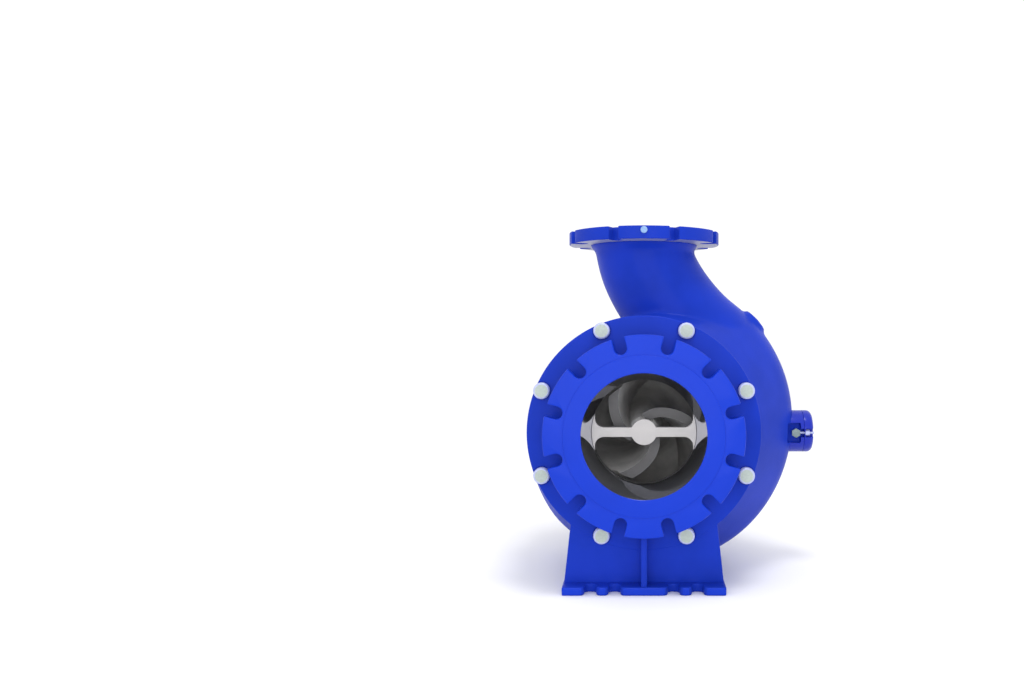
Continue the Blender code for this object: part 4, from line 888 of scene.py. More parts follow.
def neck_stops(thinner, top_z, top_r):
    """Stops for a tube along the neck, made thinner for its bore, up to a height and a radius."""
    places = neck_places()
    places.append((Vector((places[-1][0].x, DISCHARGE_Y, top_z)), top_r + thinner))
    stops = []
    for i, (place, radius) in enumerate(places):
        before, after = places[max(i - 1, 0)][0], places[min(i + 1, len(places) - 1)][0]
        stops.append((place, (after - before).normalized(), radius - thinner))
    return stops


print(f"the discharge flange's face is at {DISCHARGE_TOP_Z * 1000:.0f} mm")

# %% [markdown]
# ## Spiral casing: the melt and the machining
# Hull, neck, boss, port and rings are joined, then melted, which draws a fillet wherever two of them meet, as
# in the mould. The machined parts come after that, so they stay crisp: the end rings' faces, the discharge
# flange, the bolt holes, the plugs' sockets and the side port's pocket, in which the swing bolts lie.

# %% Casing sizes
DISCHARGE_RIM_R, DISCHARGE_RAISED_R = 0.17145, 0.135
DISCHARGE_SLOTS, DISCHARGE_SLOT_CIRCLE_R, DISCHARGE_SLOT_R = 8, 0.1492, 0.0111
RING_INSIDE_R = 0.21
BOSS_DEG, BOSS_R, BOSS_REACH, BOSS_ROOT = 42.3, 0.032, 0.352, 0.27
BOSS_PLUG_R, BOSS_PLUG_DEPTH = 0.0131, 0.008
PORT_Z = (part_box("port_cover")[0].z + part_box("port_cover")[1].z) / 2
PORT_R, PORT_BORE_R, PORT_ROOT_X = 0.0475, 0.026, 0.27
PORT_SEAM_X, PORT_END_X = 0.362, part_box("port_cover")[1].x
POCKET_X, POCKET_HALF_Z, POCKET_FLOOR, POCKET_DEEP_FLOOR = (0.3225, 0.3545), 0.0225, 0.0345, 0.0295
SLOT_HALF_Z, SLOT_FLOOR = 0.0097, 0.0305
PIVOT_X, PIVOT_R, PIVOT_DEPTH, PIVOT_SEAT_R = 0.3432, 0.0038, 0.007, 0.0085
GAUGE_Y, GAUGE_Z, GAUGE_STEM_R = DISCHARGE_Y - DISCHARGE_RIM_R, 0.7485, 0.0058
CASING_VOXEL, CASING_ROUNDS = 0.0042, 14

# Each line is a centre, an axis and a side, as a turned shape takes them
ON_DISCHARGE = (Vector((0.0, DISCHARGE_Y, 0.0)), UP, SIDEWAYS)
ON_BOSS = (VOLUTE_CENTRE, round_pump(1.0, BOSS_DEG, 0.0) - PUMP_AXIS, ALONG_PUMP)
ON_PORT = (Vector((0.0, DISCHARGE_Y, PORT_Z)), SIDEWAYS, ALONG_PUMP)
print(f"the side port's cover ends {PORT_END_X * 1000:.0f} mm from the shaft")


# %% Casing
def side_block(side, floor, x_range, half_z, edge=0.0):
    """A cutter at the port's front or back, from a floor at a distance from its middle outwards."""
    near, far = sorted((DISCHARGE_Y + side * floor, DISCHARGE_Y + side * (floor + 0.04)))
    return block((x_range[0], near, PORT_Z - half_z), (x_range[1], far, PORT_Z + half_z), edge)


def side_place(side, distance):
    """A point on the swing bolts' pivot line, at a distance from the port's middle."""
    return Vector((PIVOT_X, DISCHARGE_Y + side * distance, PORT_Z))


def side_rod(side, low, high, radius, sides):
    return rod(side_place(side, low), side_place(side, high), radius, sides)


def casing_blank():
    """The casting as it leaves the mould, without its flange."""
    ring_r, lip_low, lip_high = COVER_R - 0.0015, DISCHARGE_UNDER_Z - 0.012, DISCHARGE_UNDER_Z + 0.002
    front_ring = drum(ring_r, HULL_ENDS[0], CASING_FRONT_Y + RING_T, 144)
    back_ring = drum(ring_r, CASING_BACK_Y - RING_T, HULL_ENDS[1], 144)
    neck = tube(neck_stops(0.0, DISCHARGE_UNDER_Z + 0.012, NECK_TOP_R), 96)
    lip_profile = [(0.0, lip_low), (NECK_TOP_R, lip_low), (NECK_TOP_R + 0.010, lip_high), (0.0, lip_high)]
    lip = turned(lip_profile, 96, *ON_DISCHARGE)
    boss = drum(BOSS_R, BOSS_ROOT, BOSS_REACH - 0.002, 64, ON_BOSS, 0.006)
    port = way(ON_PORT, PORT_ROOT_X, PORT_SEAM_X - 0.03, PORT_R, 96)
    blank = joined(hull(0.0, SHOULDER_R, 0.0), neck, lip, boss, port, front_ring, back_ring)
    return melted(blank, CASING_VOXEL, CASING_ROUNDS)


def pocket_cutters(side):
    """The side port's pocket, with its raised pivot seat, its slot, and the pivot's hole."""
    pocket = side_block(side, POCKET_DEEP_FLOOR, POCKET_X, POCKET_HALF_Z, 0.003)
    seat = side_rod(side, POCKET_DEEP_FLOOR - 0.002, POCKET_FLOOR, PIVOT_SEAT_R, 40)
    slot = side_block(side, SLOT_FLOOR, (POCKET_X[1] - 0.004, PORT_SEAM_X + 0.01), SLOT_HALF_Z, 0.001)
    hole = side_rod(side, POCKET_FLOOR - PIVOT_DEPTH, POCKET_FLOOR + 0.02, PIVOT_R + GAP, 24)
    return [cut(pocket, seat), slot, hole]


def casing_ring(low, high):
    """One of the two machined rings that the covers are bolted to."""
    profile = [(RING_INSIDE_R, low), (COVER_R, low, 0.0015), (COVER_R, high, 0.003), (RING_INSIDE_R, high)]
    return turned(profile, 192)


def casing():
    """The blank with its machined faces, flange, bores and pockets."""
    front_ring = casing_ring(CASING_FRONT_Y, CASING_FRONT_Y + RING_T)
    back_ring = casing_ring(CASING_BACK_Y - RING_T, CASING_BACK_Y)
    thickness, face_z = DISCHARGE_TOP_Z - DISCHARGE_UNDER_Z, DISCHARGE_TOP_Z + RAISED_T
    flange = slotted_flange(
        DISCHARGE_RIM_R, DISCHARGE_SLOT_CIRCLE_R, DISCHARGE_SLOT_R, DISCHARGE_SLOTS, thickness, 0.0018
    )
    flange.transform(Matrix.Translation((0, DISCHARGE_Y, DISCHARGE_UNDER_Z)))
    raised = drum(DISCHARGE_RAISED_R, DISCHARGE_TOP_Z - 0.004, face_z, 144, ON_DISCHARGE, 0.0008)
    seat = drum(PORT_R, PORT_ROOT_X + 0.02, PORT_SEAM_X, 96, ON_PORT, 0.001)
    whole = joined(casing_blank(), flange, raised, seat, front_ring, back_ring)
    cutters = [
        hull(WALL, CHAMBER_R, 0.01),
        tube(neck_stops(WALL, DISCHARGE_TOP_Z + 0.02, DISCHARGE_BORE_R), 96),
        way(ON_BOSS, BOSS_REACH - BOSS_PLUG_DEPTH, BOSS_REACH + 0.01, BOSS_PLUG_R + GAP, 48),
        way(ON_PORT, PORT_ROOT_X - 0.02, PORT_SEAM_X + 0.01, PORT_BORE_R, 64),
        rod((0, GAUGE_Y - 0.01, GAUGE_Z), (0, GAUGE_Y + 0.010, GAUGE_Z), GAUGE_STEM_R + GAP, 32),
    ]
    for degrees in BOLT_DEGREES:
        cutters.append(bolt_way(degrees, CASING_FRONT_Y - 0.01, BOLT_DEPTH + 0.002))
        cutters.append(bolt_way(degrees, CASING_BACK_Y - BOLT_DEPTH - 0.002, CASING_BACK_Y + 0.01))
    return cut(whole, *cutters, *pocket_cutters(-1), *pocket_cutters(1))


def flange_underside(corners, normal):
    lowest = min(corner.z for corner in corners)
    return normal.z < -0.98 and abs(lowest - DISCHARGE_UNDER_Z) < 0.0005


def port_seat(corners, _):
    """The turned outside of the side port."""
    furthest = max(math.hypot(corner.y - DISCHARGE_Y, corner.z - PORT_Z) for corner in corners)
    return abs(furthest - PORT_R) < 0.0004 and min(corner.x for corner in corners) > PORT_ROOT_X


casing_piece = add_piece("spiral_casing", casing(), ENAMEL, ["volute_casing"])
paint_faces(casing_piece, BACK_FACE, flange_underside)
paint_faces(casing_piece, GLOSS_ENAMEL, port_seat)

# %% [markdown]
# ## Plugs and the side port
# Small fittings finish the casing: a pale gauge plug in the flange's rim, a painted plug with a square socket
# in the top boss, and the side port. Its round cover is held by two swing bolts, so it opens without loose
# parts: each bolt swings out of its slot once its nut is slack.

# %% Plugs
PLUG_SOCKET_HALF = 0.005
GAUGE_HEAD_R, GAUGE_HEAD_T, GAUGE_DEPTH = 0.0074, 0.004, 0.008


def hex_solid(start, end, corner_r, chamfer):
    """A hexagon bar whose far end has its corners turned off, as on a bolt head."""
    start, end = Vector(start), Vector(end)
    line, length = (end - start).normalized(), (end - start).length
    flat_r, outside_r = corner_r * math.cos(math.pi / 6), corner_r * 1.2
    cap = turned(
        [(0.0, -0.001), (outside_r, -0.001), (outside_r, length - chamfer - 0.12 * flat_r),
         (flat_r * 0.96, length), (0.0, length)],
        48, start, line, line.orthogonal().normalized(),
    )
    return common(rod(start, end, corner_r, 6), cap)


gauge = turned(
    [
        (0.0, -GAUGE_HEAD_T), (GAUGE_HEAD_R, -GAUGE_HEAD_T, 0.0014), (GAUGE_HEAD_R, -GAP),
        (GAUGE_STEM_R, -GAP), (GAUGE_STEM_R, GAUGE_DEPTH), (0.0, GAUGE_DEPTH),
    ],
    40, Vector((0.0, GAUGE_Y, GAUGE_Z)),
)
add_piece("gauge_port_plug", gauge, PALE_PLUG, ["gauge_plug"])

boss_plug = drum(BOSS_PLUG_R, BOSS_REACH - BOSS_PLUG_DEPTH + GAP, BOSS_REACH - 0.001, 48, ON_BOSS, 0.001)
socket = block((-PLUG_SOCKET_HALF,) * 3, (PLUG_SOCKET_HALF,) * 3, 0.0005)
boss_turn = ON_BOSS[1].to_track_quat("Z", "Y").to_matrix().to_4x4()
socket.transform(Matrix.Translation(VOLUTE_CENTRE + ON_BOSS[1] * (BOSS_REACH + 0.0005)) @ boss_turn)
add_piece("boss_socket_plug", cut(boss_plug, socket), ENAMEL, ["boss_plug"])


# %% Side port
SWING_OFFSET, SWING_EYE_R, SWING_EYE_T, SHANK_R = 0.0385, 0.0078, 0.0070, 0.0025
NUT_SEAT_X, NUT_R, NUT_T = 0.3645, 0.0074, 0.010
PIN_HEAD_R, PIN_HEAD_T = 0.0105, 0.005
LID_RIM_R, LID_DISH_R, LID_DISH_X = 0.030, 0.028, PORT_END_X - 0.0016
EYE_LOW, EYE_HIGH = POCKET_FLOOR + GAP, POCKET_FLOOR + GAP + SWING_EYE_T
PIN_HEAD_LOW = EYE_HIGH + GAP


def port_cover():
    lid = turned(
        [(0.0, PORT_SEAM_X + GAP), (PORT_R, PORT_SEAM_X + GAP, 0.001), (PORT_R, PORT_END_X, 0.011),
         (LID_RIM_R, PORT_END_X, 0.002), (LID_DISH_R, LID_DISH_X, 0.001), (0.0, LID_DISH_X)],
        96, *ON_PORT,
    )
    slots = []
    for side in (-1, 1):
        slots.append(side_block(side, SLOT_FLOOR, (NUT_SEAT_X, PORT_END_X + 0.01), SLOT_HALF_Z, 0.001))
        under_nut = (PORT_SEAM_X - 0.01, NUT_SEAT_X + 0.002)
        slots.append(side_block(side, SLOT_FLOOR + 0.001, under_nut, SHANK_R + 0.001))
    return cut(lid, *slots)


def swing_bolt(side, on_shank):
    """A rod that ends in a round eye, bored for its pivot."""
    on_pivot = (side_place(side, 0), ALONG_PUMP * side, SIDEWAYS)
    eye = drum(SWING_EYE_R, EYE_LOW, EYE_HIGH, 40, on_pivot, 0.001, 0.001)
    shank = drum(SHANK_R, PIVOT_X, PORT_END_X + 0.001, 32, on_shank, 0.0008)
    return cut(joined(eye, shank), side_rod(side, EYE_LOW - 0.01, EYE_HIGH + 0.01, PIVOT_R + GAP, 24))


def swing_pin(side):
    head_ends = side_place(side, PIN_HEAD_LOW), side_place(side, PIN_HEAD_LOW + PIN_HEAD_T)
    stem = side_rod(side, POCKET_FLOOR - PIVOT_DEPTH + GAP, PIN_HEAD_LOW + 0.002, PIVOT_R, 24)
    return joined(hex_solid(*head_ends, PIN_HEAD_R, 0.0005), stem)


def swing_nut(on_shank):
    centre = on_shank[0]
    seat, top = centre + SIDEWAYS * (NUT_SEAT_X + GAP), centre + SIDEWAYS * (NUT_SEAT_X + NUT_T)
    thread = way(on_shank, NUT_SEAT_X - 0.01, PORT_END_X, SHANK_R + GAP, 24)
    return cut(hex_solid(seat, top, NUT_R, 0.0005), thread)


add_piece("port_lid", port_cover(), GLOSS_ENAMEL, ["port_cover"])
for side, label in ((-1, "front"), (1, "back")):
    on_shank = (Vector((0.0, DISCHARGE_Y + side * SWING_OFFSET, PORT_Z)), SIDEWAYS, ALONG_PUMP)
    for name, made, finish, part in (
        ("bolt", swing_bolt(side, on_shank), SHEEN_ZINC, "rod"),
        ("pin", swing_pin(side), GREY_PIN, "bolt"),
        ("nut", swing_nut(on_shank), SHEEN_ZINC, "hex"),
    ):
        add_piece(f"swing_{name}_{label}_{part}", made, finish, [f"swing_{name}_{label}"])

# %% [markdown]
# ## Liner and impeller
# Behind the eye a conical liner guides the water onto three vanes. A vane is a sheet: along a radius it
# follows a logarithmic spiral, and along the shaft it twists, so that the eye shows it edge on as a bright
# curved band. A flat grid is bent by these two rules, thickened by Solidify, and trimmed by the turned space
# that it runs in, which gives every vane the same clearance to the liner.

# %% Liner
LINER_T, LINER_FLANGE_T, LINER_RIM_R = 0.010, 0.012, 0.1985
CONE_START, CONE_END = Vector((EYE_R, 0.024)), Vector((0.188, 0.140))
CONE_LINE = (CONE_END - CONE_START).normalized()
CONE_NORMAL = Vector((CONE_LINE.y, -CONE_LINE.x))


def wear_liner():
    outer_start, outer_end = CONE_START + CONE_NORMAL * LINER_T, CONE_END + CONE_NORMAL * LINER_T
    return turned(
        [
            (EYE_R, CASING_FRONT_Y, 0.001), (LINER_RIM_R, CASING_FRONT_Y, 0.001),
            (LINER_RIM_R, LINER_FLANGE_T, 0.001), (EYE_R + LINER_T, LINER_FLANGE_T, 0.003),
            (*outer_start, 0.003), (*outer_end, 0.001), (*CONE_END, 0.001), (*CONE_START, 0.004),
        ],
        160,
    )


# The liner gets the darker iron of painted shade
add_piece("conical_liner", wear_liner(), SHADED_IRON, ["wear_liner"])

# %% Impeller
VANE_T, VANE_FRONT_Y, VANE_FRONT_R = 0.020, 0.012, 0.103
VANE_INNER_R, VANE_START_R, VANE_START_DEG, VANE_SPIRAL_DEG = 0.027, 0.036, 69.8, 59.0
VANE_TWIST = -175.0
IMPELLER_R, SHROUD_Y, HUB_FRONT_Y, HUB_BACK_R = 0.1805, (0.240, 0.254), 0.020, 0.046
IMPELLER_BACK_Y, SHAFT_NOSE_Y, SHAFT_NOSE_R = 0.269, 0.150, 0.0222
NOSE_NUT_R, RUNNING_GAP = 0.0175, 0.006


def vane_cone(y):
    """The radius of the cone that the vanes follow, a running gap inside the liner."""
    start = CONE_START - CONE_NORMAL * RUNNING_GAP
    return start.x + CONE_LINE.x * (y - start.y) / CONE_LINE.y


def vane(turn_deg):
    """A grid bent into one vane, before it is trimmed."""
    bm = bmesh.new()
    bmesh.ops.create_grid(bm, x_segments=28, y_segments=40, size=0.5)
    start_y, end_y = VANE_FRONT_Y - 0.008, SHROUD_Y[0] + 0.006
    for vert in bm.verts:
        y = start_y + (end_y - start_y) * (vert.co.y + 0.5)
        outer = min(IMPELLER_R, max(VANE_FRONT_R, vane_cone(y))) + 0.012
        radius = VANE_INNER_R + (outer - VANE_INNER_R) * (vert.co.x + 0.5)
        spiral = VANE_START_DEG - VANE_SPIRAL_DEG * math.log(radius / VANE_START_R)
        vert.co = round_pump(radius, spiral + VANE_TWIST * (y - VANE_FRONT_Y) + turn_deg, y)
    mesh = solid_mesh(bm, "vane")

    def add_steps(holder, _):
        shell = holder.modifiers.new("thickness", "SOLIDIFY")
        shell.thickness = VANE_T
        shell.offset = 0.0

    return shape_with(mesh, add_steps)


def vane_room():
    slope = vane_cone(1.0) - vane_cone(0.0)
    cone_start = (VANE_FRONT_R - vane_cone(0.0)) / slope
    cone_end = (IMPELLER_R - vane_cone(0.0)) / slope
    inside_y = SHROUD_Y[1] - 0.004
    return turned(
        [(0.0, VANE_FRONT_Y), (VANE_FRONT_R, VANE_FRONT_Y), (VANE_FRONT_R, cone_start, 0.002),
         (IMPELLER_R, cone_end), (IMPELLER_R, inside_y), (0.0, inside_y)],
        160,
    )


def impeller():
    hub = turned(
        [
            (0.0, HUB_FRONT_Y), (0.026, HUB_FRONT_Y, 0.001), (0.030, 0.026, 0.003), (0.038, 0.110, 0.03),
            (0.052, 0.185, 0.03), (0.078, 0.234, 0.008), (0.090, SHROUD_Y[0], 0.004),
            (IMPELLER_R, SHROUD_Y[0], 0.002), (IMPELLER_R, SHROUD_Y[1], 0.002),
            (HUB_BACK_R, SHROUD_Y[1], 0.003), (HUB_BACK_R, IMPELLER_BACK_Y, 0.001), (0.0, IMPELLER_BACK_Y),
        ],
        128,
    )
    room = vane_room()
    vanes = [common(vane(120 * k), room) for k in range(3)]
    shaft_way = rod((0, SHAFT_NOSE_Y, AXIS_Z), (0, IMPELLER_BACK_Y + 0.01, AXIS_Z), SHAFT_NOSE_R + GAP, 64)
    return cut(joined(hub, *vanes), shaft_way)


def vane_front(corners, _):
    return max(corner.y for corner in corners) < VANE_FRONT_Y + 0.0005


rotor_piece = add_piece("three_vane_impeller", impeller(), IRON, ["impeller"], "rotor")
# The vanes' front faces get the darker iron of painted shade
paint_faces(rotor_piece, SHADED_IRON, vane_front)
nose_nut = turned(
    [(0.0, 0.006), (0.008, 0.0072, 0.003), (0.014, 0.0105, 0.003), (NOSE_NUT_R, 0.0165, 0.002),
     (NOSE_NUT_R, HUB_FRONT_Y - GAP), (0.0, HUB_FRONT_Y - GAP)],
    64,
)
add_piece("nose_nut", nose_nut, STEEL, ["impeller_nut"], "rotor")

# %% [markdown]
# ## Back cover, seal and shaft
# The photograph shows nothing behind the casing, so the back is finished as such pumps are built: a bolted
# back cover with a machined step, a seal gland with four screws, and a bare shaft end with its key.

# %% Back cover
BACK_COVER_Y, BACK_RIM_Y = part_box("back_cover")[1].y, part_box("back_cover")[1].y - 0.006
BACK_STEP_R, BACK_PAD_R = (0.204, 0.200), 0.0185
SEAL_BORE_R, SEAL_POCKET_R = 0.0315, 0.062
SPIGOT_FRONT_Y, SEAL_POCKET_DEPTH = IMPELLER_BACK_Y + 0.012, 0.030
POCKET_Y = SPIGOT_FRONT_Y + SEAL_POCKET_DEPTH


def back_cover():
    body = turned(
        [
            (SEAL_BORE_R, SPIGOT_FRONT_Y, 0.001), (LINER_RIM_R, SPIGOT_FRONT_Y, 0.002),
            (LINER_RIM_R, CASING_BACK_Y + GAP), (COVER_R, CASING_BACK_Y + GAP, 0.001),
            (COVER_R, BACK_RIM_Y, 0.003), (BACK_STEP_R[0], BACK_RIM_Y, 0.004),
            (BACK_STEP_R[1], BACK_COVER_Y, 0.002), (SEAL_POCKET_R, BACK_COVER_Y, 0.002),
            (SEAL_POCKET_R, POCKET_Y), (SEAL_BORE_R, POCKET_Y),
        ],
        160,
    )
    holes = [bolt_way(degrees, CASING_BACK_Y - 0.01, BACK_COVER_Y + 0.01) for degrees in BOLT_DEGREES]
    pads = []
    for degrees in BOLT_DEGREES:
        centre = round_pump(COVER_R - BACK_PAD_R - GAP, degrees, 0.0)
        pads.append(drum(BACK_PAD_R, BACK_COVER_Y - 0.010, BACK_COVER_Y, 40, (centre,), 0.002))
    return cut(joined(body, *pads), *holes)


add_piece("back_plate", back_cover(), ENAMEL, ["back_cover"])


# %% Hex bolts
# Each size is the head's corner radius, the head's height and the shank's radius
BACK_BOLT = (0.0139, 0.010, 0.0080)
FRAME_BOLT = (0.0098, 0.0075, 0.005)
SMALL_BOLT = (0.0078, 0.006, 0.004)
GLAND_SCREW = (0.0058, 0.004, 0.0030)
DRAIN_SCREW = (0.0095, 0.009, 0.006)
HIDDEN_SHANK = 0.0002


def hex_bolt(seat, line, corner_r, head_t, shank_r, depth=HIDDEN_SHANK):
    """A hexagon bolt with a washer face, on a seat, its head along a line."""
    seat, line = Vector(seat), Vector(line)
    head = hex_solid(seat + line * 0.0006, seat + line * head_t, corner_r, 0.0006)
    washer_r = corner_r * math.cos(math.pi / 6) * 0.96
    shank = turned(
        [(0.0, -depth), (shank_r, -depth, shank_r * 0.15), (shank_r, 0.0), (washer_r, 0.0),
         (washer_r, 0.0012), (0.0, 0.0012)],
        40, seat, line, line.orthogonal().normalized(),
    )
    return joined(head, shank)


def bolt_ring(name, count, circle_r, seat_y, size):
    """Hexagon bolts evenly round the shaft, from half a pitch on, their heads towards its end."""
    for number in range(count):
        seat = round_pump(circle_r, 360 / count * (number + 0.5), seat_y)
        add_piece(f"{name}_{number + 1}", hex_bolt(seat, ALONG_PUMP, *size), SHEEN_ZINC)


BACK_BOLT_LENGTH = BACK_COVER_Y - CASING_BACK_Y + BOLT_DEPTH
for number, degrees in enumerate(BOLT_DEGREES, 1):
    seat = round_pump(BOLT_CIRCLE_R, degrees, BACK_COVER_Y + GAP)
    bolt = hex_bolt(seat, ALONG_PUMP, *BACK_BOLT, BACK_BOLT_LENGTH)
    add_piece(f"back_bolt_{number}_hex", bolt, SHEEN_ZINC, [f"back_bolt_{number}"])

# %% Seal gland
GLAND_FLOOR_Y, GLAND_HUB_R, GLAND_SCREW_CIRCLE_R = POCKET_Y + GAP, (0.046, 0.044), 0.054
GLAND_FACE_Y, GLAND_END_Y = GLAND_FLOOR_Y + 0.012, GLAND_FLOOR_Y + 0.024
gland = turned(
    [
        (SEAL_BORE_R, GLAND_FLOOR_Y, 0.0008), (SEAL_POCKET_R - GAP, GLAND_FLOOR_Y, 0.001),
        (SEAL_POCKET_R - GAP, GLAND_FACE_Y, 0.001), (GLAND_HUB_R[0], GLAND_FACE_Y, 0.0015),
        (GLAND_HUB_R[1], GLAND_END_Y, 0.001), (SEAL_BORE_R, GLAND_END_Y, 0.0008),
    ],
    96,
)
add_piece("gland_ring", gland, STEEL, ["seal_gland"])
bolt_ring("gland_screw", 4, GLAND_SCREW_CIRCLE_R, GLAND_FACE_Y + GAP, GLAND_SCREW)

# %% Shaft and key
SHAFT_SEAL_R, SHAFT_END_R = 0.0300, 0.0240
SHAFT_STEP_Y, SHAFT_END_Y = 0.639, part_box("shaft")[1].y
KEY_HALF, KEY_FLOOR, KEY_TOP = 0.007, 0.0185, 0.0275
KEY_START_Y, KEY_END_Y = SHAFT_STEP_Y + 0.012, SHAFT_END_Y - 0.007


def shaft():
    body = turned(
        [
            (0.0, SHAFT_NOSE_Y + GAP), (SHAFT_NOSE_R, SHAFT_NOSE_Y + GAP, 0.001),
            (SHAFT_NOSE_R, IMPELLER_BACK_Y + GAP), (SHAFT_SEAL_R, IMPELLER_BACK_Y + GAP, 0.001),
            (SHAFT_SEAL_R, SHAFT_STEP_Y, 0.0012), (SHAFT_END_R, SHAFT_STEP_Y, 0.001),
            (SHAFT_END_R, SHAFT_END_Y, 0.002), (0.0, SHAFT_END_Y),
        ],
        128,
    )
    keyway = block(
        (-KEY_HALF, KEY_START_Y, AXIS_Z + KEY_FLOOR - GAP), (KEY_HALF, KEY_END_Y, AXIS_Z + KEY_TOP + 0.01)
    )
    outside_y = SHAFT_END_Y + 0.001
    centre = turned([(0.0, SHAFT_END_Y - 0.006), (0.005, outside_y), (0.0, outside_y)], 32)
    return cut(body, keyway, centre)


add_piece("turned_shaft", shaft(), STEEL, ["shaft"], "rotor")
key = block(
    (GAP - KEY_HALF, KEY_START_Y + GAP, AXIS_Z + KEY_FLOOR),
    (KEY_HALF - GAP, KEY_END_Y - GAP, AXIS_Z + KEY_TOP), 0.0006,
)
add_piece("coupling_key", key, STEEL, ["shaft_key"], "rotor")

# %% [markdown]
# ## Bearing frame
# A lantern joins the back cover to the bearing barrel; its two windows let a spanner reach the seal. Four
# ribs stiffen it. The barrel carries bosses for the oil filler, the sight glass and the drain, and below a
# pad rests on the rear foot. The windows' cutters have round corners, as windows in a casting do.

# %% Bearing frame
FRAME_START_Y, FRAME_END_Y = BACK_COVER_Y + GAP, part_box("bearing_frame")[1].y
BARREL_R, LANTERN_R, LANTERN_LENGTH, FRAME_FLANGE_T = 0.090, 0.120, 0.085, 0.018
BARREL_INSIDE_R, LANTERN_INSIDE_R = BARREL_R - 0.010, 0.105
FRAME_FLANGE_R, FRAME_BOLT_CIRCLE_R, CAP_R, BEARING_BORE_R = 0.150, 0.134, 0.102, 0.0303
FRAME_RIB_T, FRAME_RIB = 0.012, ((0.010, 0.085), (0.010, 0.144), (0.150, 0.094), (0.150, 0.082))
WINDOW_X, WINDOW_Y, WINDOW_HALF_Z = (0.055, 0.140), (0.0245, 0.0755), 0.044
OIL_BOSS_R, OIL_Y, SIGHT_DROP, DRAIN_Y = 0.096, 0.509, 0.018, 0.484
ON_FILLER = (PUMP_AXIS + ALONG_PUMP * OIL_Y, UP, SIDEWAYS)
ON_SIGHT = (Vector((0.0, OIL_Y, AXIS_Z - SIGHT_DROP)), SIDEWAYS, ALONG_PUMP)
ON_DRAIN = (PUMP_AXIS + ALONG_PUMP * DRAIN_Y, -UP, SIDEWAYS)

# Each boss has its radius at the barrel, its radius at its face, and its line
FRAME_BOSSES = ((0.018, 0.016, ON_FILLER), (0.023, 0.020, ON_SIGHT), (0.015, 0.013, ON_DRAIN))
PAD_BOTTOM_Z, PAD_HALF, REAR_FOOT_Y = 0.2094, (0.036, 0.030), 0.5465


def frame_body():
    start, end, lantern_end = FRAME_START_Y, FRAME_END_Y, FRAME_START_Y + LANTERN_LENGTH
    flange_end, cap_seat, wall_y = start + FRAME_FLANGE_T, end - FRAME_FLANGE_T, lantern_end - 0.005
    return turned(
        [
            (LANTERN_INSIDE_R, start), (FRAME_FLANGE_R, start, 0.001), (FRAME_FLANGE_R, flange_end, 0.002),
            (LANTERN_R, flange_end, 0.008), (BARREL_R, lantern_end, 0.02), (BARREL_R, cap_seat, 0.005),
            (CAP_R, cap_seat, 0.002), (CAP_R, end, 0.001), (BEARING_BORE_R, end, 0.001),
            (BEARING_BORE_R, wall_y, 0.001), (BARREL_INSIDE_R, wall_y, 0.006),
            (LANTERN_INSIDE_R, flange_end + 0.004, 0.01),
        ],
        160,
    )


def frame_rib(degrees):
    outline = [(FRAME_START_Y + y, r, 0.004) for y, r in FRAME_RIB]
    rib = side_plate(-FRAME_RIB_T / 2, outline, FRAME_RIB_T, 0.003)
    rib.transform(Matrix.Translation(PUMP_AXIS) @ Matrix.Rotation(math.radians(degrees), 4, "Y"))
    return rib


def frame_boss(root_r, top_r, line):
    """A tapered boss on the barrel, its face machined."""
    profile = [
        (0.0, BARREL_INSIDE_R), (root_r, BARREL_INSIDE_R), (top_r, OIL_BOSS_R, 0.0015), (0.0, OIL_BOSS_R)
    ]
    return turned(profile, 64, *line)


def frame_window(side):
    near, far = sorted(side * x for x in WINDOW_X)
    return block(
        (near, FRAME_START_Y + WINDOW_Y[0], AXIS_Z - WINDOW_HALF_Z),
        (far, FRAME_START_Y + WINDOW_Y[1], AXIS_Z + WINDOW_HALF_Z), 0.012, 6,
    )


def bearing_frame():
    ribs = [frame_rib(degrees) for degrees in (45, 135, 225, 315)]
    pad = block(
        (-PAD_HALF[0], REAR_FOOT_Y - PAD_HALF[1], PAD_BOTTOM_Z),
        (PAD_HALF[0], REAR_FOOT_Y + PAD_HALF[1] - 0.001, AXIS_Z - BARREL_INSIDE_R), 0.003,
    )
    bosses = [frame_boss(*boss) for boss in FRAME_BOSSES]
    return cut(joined(frame_body(), pad, *ribs, *bosses), frame_window(-1), frame_window(1))


add_piece("bearing_bracket", bearing_frame(), ENAMEL, ["bearing_frame"])
bolt_ring("frame_bolt", 8, FRAME_BOLT_CIRCLE_R, FRAME_START_Y + FRAME_FLANGE_T + GAP, FRAME_BOLT)

# %% Bearing cap
CAP_Y, CAP_END_Y = FRAME_END_Y + GAP, FRAME_END_Y + GAP + 0.024
CAP_BOLT_CIRCLE_R, CAP_BOLT_SEAT_Y, CAP_HUB_R = 0.086, CAP_Y + 0.0135 + GAP, (0.070, 0.052)
cap = turned(
    [
        (BEARING_BORE_R, CAP_Y, 0.0008), (CAP_R, CAP_Y, 0.001), (CAP_R, CAP_Y + 0.013, 0.002),
        (CAP_HUB_R[0], CAP_Y + 0.014, 0.004), (CAP_HUB_R[1], CAP_END_Y, 0.002),
        (BEARING_BORE_R, CAP_END_Y, 0.0008),
    ],
    128,
)
add_piece("bearing_end_cap", cap, ENAMEL, ["bearing_cap"])
bolt_ring("cap_bolt", 6, CAP_BOLT_CIRCLE_R, CAP_BOLT_SEAT_Y, SMALL_BOLT)

